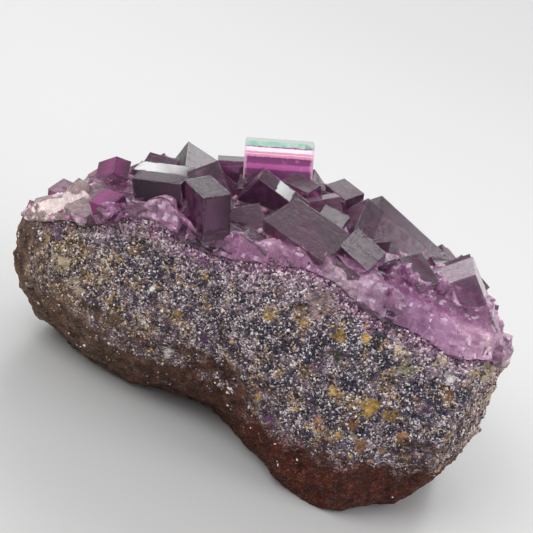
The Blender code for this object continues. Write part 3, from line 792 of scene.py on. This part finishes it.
def root_zones(points, darkened=False):
    """The colour of the cloudy crystal at each place, changing along the specimen."""
    places = points / MM
    fine = wandering(places, 3.0, 15.0)
    stops = np.array([x for x, _, _ in ROOT_TINTS], float)
    tints = np.array([tint for _, tint, _ in ROOT_TINTS])
    x = places[:, 0] + 3.5 * fine
    front = np.column_stack([np.interp(x, stops, tints[:, k]) for k in range(3)])
    elsewhere = np.tile(np.array(TINTS["rose"]), (len(points), 1))
    elsewhere = blended(elsewhere, TINTS["violet"], smooth_step(-0.2, 0.2, fine))
    behind = smooth_step(-8.0, 6.0, places[:, 1] + 6.0 * fine)
    colour = front + (elsewhere - front) * behind[:, None]
    if darkened:
        dark = 1 - smooth_step(0.2, 3.6, near_crystals(points) + 1.5 * fine)
        colour = blended(colour, ROOT_TOP, 0.9 * dark * smooth_step(-35.0, -31.0, x))
    return np.column_stack([colour, np.ones(len(points))])


def set_zone(mesh, colours, domain="POINT"):
    zone = mesh.attributes.new("zone", "FLOAT_COLOR", domain)
    zone.data.foreach_set("color", colours.astype(np.float32).ravel())


def rock_mesh():
    """The rock with its lumps, pits and grain, flat underneath and under the crust."""
    mesh = evenly_meshed(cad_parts[ROCK_NODE].data, ROCK_CELL)
    crust = solid_tree(CRUST_NODE)
    points, normals = vertex_values(mesh, "co"), vertex_values(mesh, "normal")
    heights = np.zeros(len(points))
    for i, point in enumerate(points):
        place = Vector(point) / MM
        height = sum(high * noise.noise(place / wave) for wave, high in ROCK_RELIEF)
        height += GRAIN_RELIEF * (0.45 - noise.voronoi(place / GRAIN_WAVE)[0][0])
        if crust.find_nearest(Vector(point))[3] / MM < UNDER_CRUST:
            height = min(height, 0.0) * 0.3
        heights[i] = height * min(1.0, place.z / BASE_FADE)
    points += normals * heights[:, None] * MM
    low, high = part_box(ROCK_NODE)
    points = np.clip(points, np.array(low), np.array(high))
    moved(mesh, points, "rock")
    set_zone(mesh, rock_zones(points, normals))
    return mesh


def triangles_of(mesh):
    """A mesh's triangles by their corners, with their normals and doubled areas."""
    mesh.calc_loop_triangles()
    corners = np.empty(len(mesh.loop_triangles) * 3, np.int32)
    mesh.loop_triangles.foreach_get("vertices", corners)
    triangles = vertex_values(mesh, "co")[corners.reshape(-1, 3)]
    across = np.cross(triangles[:, 1] - triangles[:, 0], triangles[:, 2] - triangles[:, 0])
    areas = np.linalg.norm(across, axis=1)
    return triangles, across / np.maximum(areas, TINY)[:, None], areas


def spots_on(mesh, count, chance, weights):
    """Points spread over a mesh by area and the triangles' weights, with the normals there."""
    triangles, normals, areas = triangles_of(mesh)
    areas = areas * weights
    chosen = chance.choice(len(areas), size=count, p=areas / areas.sum())
    a, b = chance.random(count), chance.random(count)
    flip = a + b > 1
    a[flip], b[flip] = 1 - a[flip], 1 - b[flip]
    first, second, third = triangles[chosen].transpose(1, 0, 2)
    return first + a[:, None] * (second - first) + b[:, None] * (third - first), normals[chosen]


CUBE_SIGNS = [(x, y, z) for x in (-1, 1) for y in (-1, 1) for z in (-1, 1)]
CUBE_SIDES = np.array([
    (0, 1, 3, 2), (4, 6, 7, 5), (0, 4, 5, 1), (2, 3, 7, 6), (0, 2, 6, 4), (1, 5, 7, 3)])


def random_turns(count, chance):
    """Rotation matrices for as many pieces, turned any way."""
    q = chance.normal(size=(count, 4))
    q /= np.linalg.norm(q, axis=1)[:, None]
    w, x, y, z = q.T
    return np.stack([
        np.stack([1 - 2 * (y * y + z * z), 2 * (x * y - w * z), 2 * (x * z + w * y)], 1),
        np.stack([2 * (x * y + w * z), 1 - 2 * (x * x + z * z), 2 * (y * z - w * x)], 1),
        np.stack([2 * (x * z - w * y), 2 * (y * z + w * x), 1 - 2 * (x * x + y * y)], 1),
    ], 1)


def joined_grains(name, spots, sizes, chance, jitter):
    """One mesh of many small blocks with uneven corners, each with its own tone."""
    count = len(spots)
    corners = np.array(CUBE_SIGNS) / 2 + chance.uniform(-jitter, jitter, (count, 8, 3))
    corners *= sizes[:, None, None] * chance.uniform(0.45, 1.25, (count, 1, 3))
    turned = np.einsum("nij,nkj->nki", random_turns(count, chance), corners)
    points = (turned + spots[:, None, :]).reshape(-1, 3)
    faces = (CUBE_SIDES[None] + 8 * np.arange(count)[:, None, None]).reshape(-1, 4)
    mesh = bpy.data.meshes.new(name)
    mesh.vertices.add(len(points))
    mesh.vertices.foreach_set("co", points.astype(np.float32).ravel())
    mesh.loops.add(faces.size)
    mesh.loops.foreach_set("vertex_index", faces.astype(np.int32).ravel())
    mesh.polygons.add(len(faces))
    mesh.polygons.foreach_set("loop_start", np.arange(0, faces.size, 4, dtype=np.int32))
    mesh.update(calc_edges=True)
    tones = mesh.attributes.new("grain_tone", "FLOAT", "FACE")
    tones.data.foreach_set("value", np.repeat(chance.random(count), 6).astype(np.float32))
    return mesh


def inside_box(points, node, room):
    """Which points are at least that much room inside a node's box."""
    low, high = (np.array(corner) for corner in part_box(node))
    return np.all((points > low + room) & (points < high - room), axis=1)


def grains_on_rock(name, rock, weights, count, size, seed):
    """One mesh of grains half sunk in the rock, coloured by its zones."""
    chance = np.random.default_rng(seed)
    spots, normals = spots_on(rock, count, chance, weights)
    sizes = size * chance.uniform(0.6, 1.45, count)
    spots = spots - normals * (sizes * GRAIN_SUNK)[:, None]
    inside = inside_box(spots, ROCK_NODE, 0.4 * MM)
    mesh = joined_grains(name, spots[inside], sizes[inside], chance, GRAIN_UNEVEN)
    zones = rock_zones(spots[inside], normals[inside])
    set_zone(mesh, np.repeat(zones, 6, axis=0), "FACE")
    return mesh


def grain_weights(rock):
    """Grains keep off the flat base, and thin out on the smooth rind and on level tops."""
    triangles, normals, _ = triangles_of(rock)
    centres = triangles.mean(axis=1)
    grained = rock_zones(centres, normals)[:, 3]
    covered = np.where(normals[:, 2] > 0.75, 0.2, 1.0)
    clusters = smooth_step(-0.2, 0.4, wandering(centres / MM, 2.2, 300.0))
    return (centres[:, 2] > 0.6 * MM) * covered * (0.004 + grained ** 2) * (0.06 + clusters)


class Crystal:
    """One of the crystals that stand out, with its box's axes and half sizes."""

    def __init__(self, tint, centre, edges, degrees):
        self.tint = TINTS[tint]
        self.centre = (Vector(centre) + DRAWING_SHIFT) * MM
        self.half = Vector(edges) * (MM / 2)
        self.axes = Euler([math.radians(a) for a in degrees]).to_matrix()

    def side_of(self, point, normal):
        """The axis whose face holds this point of the crust, or None."""
        local = self.axes.transposed() @ (point - self.centre)
        facing = self.axes.transposed() @ normal
        for axis in range(3):
            on_face = abs(abs(local[axis]) - self.half[axis]) < 0.06 * MM
            within = all(abs(local[k]) < self.half[k] + 0.1 * MM for k in range(3))
            if on_face and within and abs(facing[axis]) > 0.999:
                return axis
        return None


def smooth_regions(shape):
    """The faces of the broken surfaces: those that go on into others at a shallow angle."""
    seen, rough = set(), set()
    for first in shape.faces:
        if first in seen:
            continue
        region, waiting = [], [first]
        seen.add(first)
        while waiting:
            face = waiting.pop()
            region.append(face)
            for edge in face.edges:
                if len(edge.link_faces) != 2 or edge.calc_face_angle(4.0) > SHALLOW:
                    continue
                for other in edge.link_faces:
                    if other not in seen:
                        seen.add(other)
                        waiting.append(other)
        if len(region) > 4:
            rough.update(region)
    return rough


def split_broken(shape, kind):
    """Divide the faces of the broken surfaces until their edges are short."""
    for _ in range(3):
        edges = [
            edge for edge in shape.edges
            if edge.calc_length() > BROKEN_CELL * MM
            and all(face[kind] == BROKEN for face in edge.link_faces)
        ]
        if not edges:
            break
        bmesh.ops.subdivide_edges(shape, edges=edges, cuts=1, use_grid_fill=True)
        faces = [face for face in shape.faces if face[kind] == BROKEN and len(face.verts) > 3]
        bmesh.ops.triangulate(shape, faces=faces)


def cleavage(points, share, tilt, lift, chance):
    """Heights of flat tilted facets round a share of a surface's points, in mm."""
    middles = [Vector(point) for point in points if chance.random() < share]
    near = kdtree.KDTree(len(middles))
    for i, middle in enumerate(middles):
        near.insert(middle, i)
    near.balance()
    tilts = [(Vector([chance.uniform(-tilt, tilt) for _ in range(3)]), chance.uniform(*lift))
             for _ in middles]
    heights = []
    for point in points:
        _, i, _ = near.find(point)
        heights.append(tilts[i][0].dot((Vector(point) - middles[i]) / MM) + tilts[i][1])
    return heights


def cleave(shape, kind):
    """Break the divided surfaces into flat facets."""
    inner = [
        vert for vert in shape.verts
        if vert.link_faces and all(face[kind] == BROKEN for face in vert.link_faces)
    ]
    heights = cleavage([vert.co for vert in inner], *BROKEN_FACETS, random.Random(SEED))
    normals = [vert.normal.copy() for vert in inner]
    for vert, normal, height in zip(inner, normals, heights):
        vert.co += normal * max(BROKEN_DEEPEST, min(BROKEN_HIGHEST, height)) * MM


def face_frame(face, crystal, axis):
    """A face's own plan: its middle, two directions along its edges and its half sizes."""
    if crystal:
        u, v = [k for k in range(3) if k != axis]
        along_u, along_v = crystal.axes.col[u], crystal.axes.col[v]
        return crystal.centre, along_u, along_v, crystal.half[u] / MM, crystal.half[v] / MM
    longest = max(face.edges, key=lambda edge: edge.calc_length())
    along_u = (longest.verts[1].co - longest.verts[0].co).normalized()
    along_v = face.normal.cross(along_u)
    middle = face.calc_center_median()
    spans = []
    for direction in (along_u, along_v):
        along = [(vert.co - middle).dot(direction) for vert in face.verts]
        spans.append((min(along), max(along)))
    middle = middle + along_u * sum(spans[0]) / 2 + along_v * sum(spans[1]) / 2
    half_u, half_v = ((high - low) / 2 / MM for low, high in spans)
    return middle, along_u, along_v, half_u, half_v


def random_tint(point, chance):
    """A tint for a crystal without a name: paler at the left end and near the rock."""
    if point.x < -30 * MM:
        return TINTS[chance.choice(("cream", "pale", "rose", "cream"))]
    if point.z < 34 * MM and point.y < -12 * MM:
        return TINTS[chance.choice(("rose", "violet", "mauve", "pale"))]
    return TINTS[chance.choice(COMMON_TINTS)]


def crust_mesh():
    """The crystal crust with flat crystal faces and cleaved, splintered broken ones."""
    shape = bmesh.new()
    shape.from_mesh(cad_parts[CRUST_NODE].data)
    bmesh.ops.remove_doubles(shape, verts=shape.verts, dist=0.0005 * MM)
    bmesh.ops.dissolve_limit(
        shape, angle_limit=math.radians(0.4), verts=shape.verts, edges=shape.edges)
    kind = shape.faces.layers.int.new("kind")
    rock = solid_tree(ROCK_NODE)
    crystals = [Crystal(*row[1:]) for row in CRYSTALS]
    rough = smooth_regions(shape)
    owners = {}
    for face in shape.faces:
        middle = face.calc_center_median()
        for crystal in crystals:
            axis = crystal.side_of(middle, face.normal)
            if axis is not None:
                owners[face.index] = (crystal, axis)
                break
        distance = rock.find_nearest(middle)[3]
        if distance < 0.5 * MM and face.normal.z < 0.3:
            face[kind] = CONTACT
        elif face in rough and face.index not in owners:
            face[kind] = BROKEN
    chance = random.Random(SEED)
    plan = shape.loops.layers.float_vector.new("face_plan")
    size = shape.faces.layers.float_vector.new("face_size")
    tint = shape.faces.layers.float_color.new("tint")
    is_broken = shape.faces.layers.float.new("broken")
    for face in shape.faces:
        crystal, axis = owners.get(face.index, (None, None))
        middle, along_u, along_v, half_u, half_v = face_frame(face, crystal, axis)
        face[size] = (half_u, half_v, chance.random())
        for loop in face.loops:
            offset = (loop.vert.co - middle) / MM
            loop[plan] = (offset.dot(along_u), offset.dot(along_v), 0)
        colour = crystal.tint if crystal else random_tint(middle, chance)
        # Painted reflection: upward faces are greyed towards slate as if they mirrored the pale
        # backdrop.
        if face.normal.z > UPWARD and max(colour) < max(TINTS["lilac"]):
            colour = blended(np.array([colour]), TINTS["slate"], np.array([BACKDROP_SHEEN]))[0]
        shade = chance.uniform(0.8, 1.15)
        face[tint] = (*[min(1.0, c * shade) for c in colour], 1.0)
        face[is_broken] = 1.0 if face[kind] == BROKEN else 0.0
    under = {v for face in shape.faces if face[kind] == CONTACT for v in face.verts}
    for vert in under:
        normals = [f.normal for f in vert.link_faces if f[kind] == CONTACT]
        down = sum(normals, Vector()).normalized()
        vert.co += down * CONTACT_SINK * MM
    split_broken(shape, kind)
    cleave(shape, kind)
    bmesh.ops.triangulate(shape, faces=shape.faces)
    mesh = finished_mesh(shape, "crystals")
    mesh.polygons.foreach_set("use_smooth", [False] * len(mesh.polygons))
    points = vertex_values(mesh, "co")
    rise = mesh.attributes.new("rise", "FLOAT", "POINT")
    rise.data.foreach_set("value", reach(rock, points).astype(np.float32))
    set_zone(mesh, root_zones(points))
    return mesh


def root_limit(place):
    """How far the cloudy layer reaches from the rock, in mm: most at the thick end."""
    front = smooth_step(8.0, -6.0, place.y + 5.0 * noise.noise(place / 6.0))
    thick_end = smooth_step(14.0, 24.0, place.x) * front
    thin_end = smooth_step(-33.0, -37.0, place.x)
    extra = 5.5 * float(thick_end) + 2.5 * float(thin_end)
    return ROOT_DEPTH + ROOT_WANDER * noise.noise(place / 4.5) + extra


def root_mesh():
    """A lumpy cloudy layer over the rock, inside the clear crust."""
    mesh = evenly_meshed(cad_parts[CRUST_NODE].data, ROOT_CELL)
    rock = solid_tree(ROCK_NODE)
    points, normals = vertex_values(mesh, "co"), vertex_values(mesh, "normal")
    heights = cleavage(points, *ROOT_FACETS, random.Random(SEED))
    stops, shows = [x for x, _, _ in ROOT_TINTS], [show for _, _, show in ROOT_TINTS]
    for i in range(len(points)):
        point, normal = Vector(points[i]), Vector(normals[i])
        place = point / MM
        nearest, _, _, distance = rock.find_nearest(point)
        limit = root_limit(place) * MM
        if distance > limit:
            point = nearest + (point - nearest) * (limit / distance)
        elif distance < 0.7 * MM and normal.dot(nearest - point) > 0:
            point = point + normal * CONTACT_SINK * MM
        else:
            front = float(smooth_step(5.0, -5.0, place.y + 4.0 * noise.noise(place / 5.0)))
            show = 0.3 + (float(np.interp(place.x, stops, shows)) - 0.3) * front
            show = max(0.0, min(1.0, show + 0.3 * noise.noise(place / 3.5)))
            inset = ROOT_INSET + (ROOT_PROUD - ROOT_INSET) * show
            lift = max(ROOT_LOWEST, heights[i]) * show
            point = point - normal * (inset - lift) * MM
        points[i] = point
    moved(mesh, points, "roots")
    mesh.set_sharp_from_angle(angle=ROOT_SHARP)
    set_zone(mesh, root_zones(points, darkened=True))
    return mesh


def slab(shape, crystal, low, high, layers):
    """A closed box in a crystal's own frame; each layer maps a corner's signs to a value."""
    verts = [
        shape.verts.new(crystal.centre + crystal.axes @ Vector([
            (low, high)[sign > 0][k] * MM for k, sign in enumerate(corner)]))
        for corner in CUBE_SIGNS]
    for side in CUBE_SIDES:
        face = shape.faces.new([verts[i] for i in side])
        for loop, i in zip(face.loops, side):
            for layer, value in layers:
                loop[layer] = value(CUBE_SIGNS[i])


def skin_mesh():
    """Thin closed slabs over crystal faces that are etched or strongly coloured, and over tops
    with a painted reflection.
    """
    crystals = {row[0]: Crystal(*row[1:]) for row in CRYSTALS}
    shape = bmesh.new()
    plan = shape.loops.layers.float_vector.new("face_plan")
    first = shape.loops.layers.float_color.new("tint")
    second = shape.loops.layers.float_color.new("zone")
    for name, axis, side, along_u, along_v, near, far in FROSTED_AND_SHEEN:
        half = crystals[name].half / MM
        u, v = [k for k in range(3) if k != axis]
        low, high = [0.0, 0.0, 0.0], [0.0, 0.0, 0.0]
        low[u], high[u] = along_u[0] * half[u], along_u[1] * half[u]
        low[v], high[v] = along_v[0] * half[v], along_v[1] * half[v]
        low[axis], high[axis] = sorted(
            (side * (half[axis] - SKIN_SUNK), side * (half[axis] + SKIN_PROUD)))
        slab(shape, crystals[name], low, high, (
            (plan, lambda sign, u=u, v=v: (sign[u], sign[v], 0)),
            (first, lambda sign, colour=near: opaque(colour)),
            (second, lambda sign, colour=far: opaque(colour))))
    bmesh.ops.recalc_face_normals(shape, faces=shape.faces)
    return finished_mesh(shape, "skins")


def mint_mesh(cube):
    """A closed cap over the banded cube's top, with a ragged lower edge."""
    shape = bmesh.new()
    bmesh.ops.create_cube(shape, size=1.0)
    bmesh.ops.subdivide_edges(shape, edges=shape.edges[:], cuts=30, use_grid_fill=True)
    low = cube.half.z - MINT_DEPTH * MM
    high = cube.half.z + MINT_PROUD * MM
    for vert in shape.verts:
        u = vert.co.x * 2 * (cube.half.x + MINT_PROUD * MM)
        v = vert.co.y * 2 * (cube.half.y + MINT_PROUD * MM)
        ragged = MINT_RAGGED * MM * noise.noise(Vector((u, v, 0)) / (1.1 * MM))
        height = low + ragged + (high - low - ragged) * (vert.co.z + 0.5)
        vert.co = cube.centre + cube.axes @ Vector((u, v, height))
    return finished_mesh(shape, "mint")


def band_mesh(cube):
    """A thin closed ring round the banded cube, with the depth under the cube's top."""
    shape = bmesh.new()
    depth = shape.verts.layers.float.new("depth")
    plan = shape.loops.layers.float_vector.new("face_plan")
    top = MINT_DEPTH * 0.7
    loop = []
    for out, order in ((0.6 * MINT_PROUD, 1), (-SKIN_SUNK, -1)):
        rings = []
        for i in range(BAND_STEPS + 1):
            below = top + (BAND_DEPTH - top) * i / BAND_STEPS
            ring = []
            for x, y in ((-1, -1), (1, -1), (1, 1), (-1, 1)):
                vert = shape.verts.new(cube.centre + cube.axes @ Vector((
                    x * (cube.half.x + out * MM), y * (cube.half.y + out * MM),
                    cube.half.z - below * MM)))
                vert[depth] = below
                ring.append(vert)
            rings.append(ring)
        loop += rings[::order]
    for i, ring in enumerate(loop):
        after = loop[(i + 1) % len(loop)]
        for k in range(4):
            corners = (ring[k], ring[(k + 1) % 4], after[(k + 1) % 4], after[k])
            face = shape.faces.new(corners)
            for corner, across in zip(face.loops, (-1, 1, 1, -1)):
                corner[plan] = (across, 0, 0)
    bmesh.ops.recalc_face_normals(shape, faces=shape.faces)
    return finished_mesh(shape, "bands")


class SpecimenOperator:
    bl_options = {"REGISTER", "UNDO"}


class SPECIMEN_OT_rock(SpecimenOperator, bpy.types.Operator):
    """Build the rock matrix with its lumps and grain"""
    bl_idname = "specimen.rock"
    bl_label = "Rock matrix"

    def execute(self, context):
        new_piece("rock_matrix", rock_mesh(), rock_material(), ROCK_NODE)
        return {"FINISHED"}


class SPECIMEN_OT_grains(SpecimenOperator, bpy.types.Operator):
    """Scatter the dark, bright and ochre grains over the rock"""
    bl_idname = "specimen.grains"
    bl_label = "Rock grains"

    def execute(self, context):
        rock = bpy.data.objects.get("rock_matrix")
        if rock is None:
            raise RuntimeError("build the rock matrix first")
        look = specimen("rock")
        weights = grain_weights(rock.data)
        rows = (
            ("dark_grains", look.dark_count, 1.10, look.dark, 0.7, 0.7, 0.0),
            ("bright_grains", look.bright_count, 0.85, look.bright, 1.5, 0.40, 0.1),
            ("ochre_grains", look.ochre_count, 1.0, look.ochre, 1.0, 0.60, 0.0),
        )
        for i, (name, count, scale, colour, share, roughness, clear) in enumerate(rows):
            mesh = grains_on_rock(
                name, rock.data, weights, count, look.grain_size * scale, SEED + i)
            material = grain_material(name, colour, share, roughness, clear)
            new_piece(name, mesh, material, ROCK_NODE)
        return {"FINISHED"}


class SPECIMEN_OT_crystals(SpecimenOperator, bpy.types.Operator):
    """Build the fluorite crust with its named crystals"""
    bl_idname = "specimen.crystals"
    bl_label = "Fluorite crystals"

    def execute(self, context):
        new_piece("crystals", crust_mesh(), fluorite_material(), CRUST_NODE)
        return {"FINISHED"}


class SPECIMEN_OT_mint_zone(SpecimenOperator, bpy.types.Operator):
    """Build the thin green growth zone over the banded cube"""
    bl_idname = "specimen.mint_zone"
    bl_label = "Mint zone"

    def execute(self, context):
        mesh = mint_mesh(Crystal(*CRYSTALS[0][1:]))
        new_piece("mint_zone", mesh, mint_material(), CRUST_NODE)
        return {"FINISHED"}


class SPECIMEN_OT_frosted_and_sheen(SpecimenOperator, bpy.types.Operator):
    """Build the thin skins on the etched and strongly coloured crystal faces, and the painted
    reflections on two tops
    """
    bl_idname = "specimen.frosted"
    bl_label = "Frosted and sheen faces"

    def execute(self, context):
        new_piece("frosted_and_sheen_faces", skin_mesh(), frosted_and_sheen_material(), CRUST_NODE)
        return {"FINISHED"}


class SPECIMEN_OT_bands(SpecimenOperator, bpy.types.Operator):
    """Build the colour bands round the banded cube"""
    bl_idname = "specimen.bands"
    bl_label = "Colour bands"

    def execute(self, context):
        mesh = band_mesh(Crystal(*CRYSTALS[0][1:]))
        new_piece("growth_bands", mesh, band_material(), CRUST_NODE)
        return {"FINISHED"}


class SPECIMEN_OT_roots(SpecimenOperator, bpy.types.Operator):
    """Build the cloudy roots of the crystals, over the rock"""
    bl_idname = "specimen.roots"
    bl_label = "Cloudy roots"

    def execute(self, context):
        new_piece("crystal_roots", root_mesh(), root_material(), CRUST_NODE)
        return {"FINISHED"}


class SPECIMEN_OT_chips(SpecimenOperator, bpy.types.Operator):
    """Scatter small splinters over the crust's broken faces"""
    bl_idname = "specimen.chips"
    bl_label = "Fluorite chips"

    def execute(self, context):
        crust = bpy.data.objects.get("crystals")
        if crust is None:
            raise RuntimeError("build the crystals first")
        chance = np.random.default_rng(SEED + 9)
        count = specimen("fluorite").chip_count
        flags = np.empty(len(crust.data.polygons), np.float32)
        crust.data.attributes["broken"].data.foreach_get("value", flags)
        crust.data.calc_loop_triangles()
        owner = np.empty(len(crust.data.loop_triangles), np.int32)
        crust.data.loop_triangles.foreach_get("polygon_index", owner)
        spots, normals = spots_on(crust.data, count, chance, flags[owner] + 0.002)
        sizes = MM * chance.uniform(0.35, 1.3, count) ** 1.3
        spots = spots - normals * (sizes * CHIP_SUNK)[:, None]
        inside = inside_box(spots, CRUST_NODE, 0.5 * MM)
        mesh = joined_grains("chips", spots[inside], sizes[inside], chance, CHIP_UNEVEN)
        new_piece("crystal_chips", mesh, chip_material(), CRUST_NODE)
        return {"FINISHED"}


def soft_light(name, place, size, power):
    data = bpy.data.lights.new(name, "AREA")
    data.shape = "RECTANGLE"
    data.size, data.size_y = size
    data.energy = power
    light = bpy.data.objects.new(name, data)
    bpy.context.scene.collection.objects.link(light)
    light.location = place
    light.rotation_mode = "QUATERNION"
    light.rotation_quaternion = (LIGHTS_AIM - Vector(place)).to_track_quat("-Z", "Y")


class SPECIMEN_OT_stage(SpecimenOperator, bpy.types.Operator):
    """Set up the pale floor, the soft lights and the camera"""
    bl_idname = "specimen.stage"
    bl_label = "Stage"

    def execute(self, context):
        stage = specimen("stage")
        scene = bpy.context.scene
        shape = bmesh.new()
        bmesh.ops.create_grid(shape, x_segments=1, y_segments=1, size=FLOOR_HALF)
        mesh = finished_mesh(shape, "floor")
        floor = bpy.data.objects.new("floor", mesh)
        scene.collection.objects.link(floor)
        floor.location.z = -FLOOR_DROP * MM
        material, _, shader = new_material("pale_floor")
        shader.inputs["Base Color"].default_value = opaque(stage.floor)
        shader.inputs["Roughness"].default_value = FLOOR_ROUGHNESS
        mesh.materials.append(material)

        world = bpy.data.worlds.new("studio")
        world.use_nodes = True
        fill(world.node_tree, world.node_tree.nodes["Background"],
             {"Color": SKY_COLOUR, "Strength": SKY_STRENGTH})
        scene.world = world
        for row in LIGHTS:
            soft_light(*row)
        scene.view_settings.view_transform = "Standard"

        data = bpy.data.cameras.new("camera")
        camera = bpy.data.objects.new("camera", data)
        scene.collection.objects.link(camera)
        data.lens = stage.lens
        data.sensor_width = SENSOR_WIDTH
        data.clip_start = NEAREST_SEEN
        camera.location = CAMERA_PLACE * MM
        turn = Matrix.Rotation(math.pi / 2 - stage.elevation, 3, "X") @ Matrix.Rotation(
            stage.roll, 3, "Z")
        camera.rotation_euler = turn.to_euler()
        scene.camera = camera
        return {"FINISHED"}


class SPECIMEN_PT_panel(bpy.types.Panel):
    """The specimen's pieces, in the 3D view's sidebar"""
    bl_idname = "SPECIMEN_PT_panel"
    bl_label = "Fluorite specimen"
    bl_space_type = "VIEW_3D"
    bl_region_type = "UI"
    bl_category = "Specimen"

    def draw(self, context):
        for operator in OPERATORS:
            self.layout.operator(operator.bl_idname)
        for part in GROUPS:
            group = specimen(part)
            box = self.layout.box()
            for name in group.__annotations__:
                box.prop(group, name)


OPERATORS = (
    SPECIMEN_OT_rock, SPECIMEN_OT_grains, SPECIMEN_OT_crystals, SPECIMEN_OT_roots,
    SPECIMEN_OT_mint_zone, SPECIMEN_OT_bands, SPECIMEN_OT_frosted_and_sheen, SPECIMEN_OT_chips,
    SPECIMEN_OT_stage,
)
GROUPS = {
    "rock": SPECIMEN_PG_rock, "fluorite": SPECIMEN_PG_fluorite, "stage": SPECIMEN_PG_stage,
}


def register():
    for part, group in GROUPS.items():
        bpy.utils.register_class(group)
        setattr(bpy.types.Scene, "specimen_" + part, bpy.props.PointerProperty(type=group))
    for each in (*OPERATORS, SPECIMEN_PT_panel):
        bpy.utils.register_class(each)


def unregister():
    for each in (SPECIMEN_PT_panel, *reversed(OPERATORS)):
        bpy.utils.unregister_class(each)
    for part, group in GROUPS.items():
        delattr(bpy.types.Scene, "specimen_" + part)
        bpy.utils.unregister_class(group)


def main():
    register()
    noise.seed_set(SEED)
    for operator in OPERATORS:
        family, name = operator.bl_idname.split(".")
        getattr(getattr(bpy.ops, family), name)()


if __name__ == "__main__":
    main()
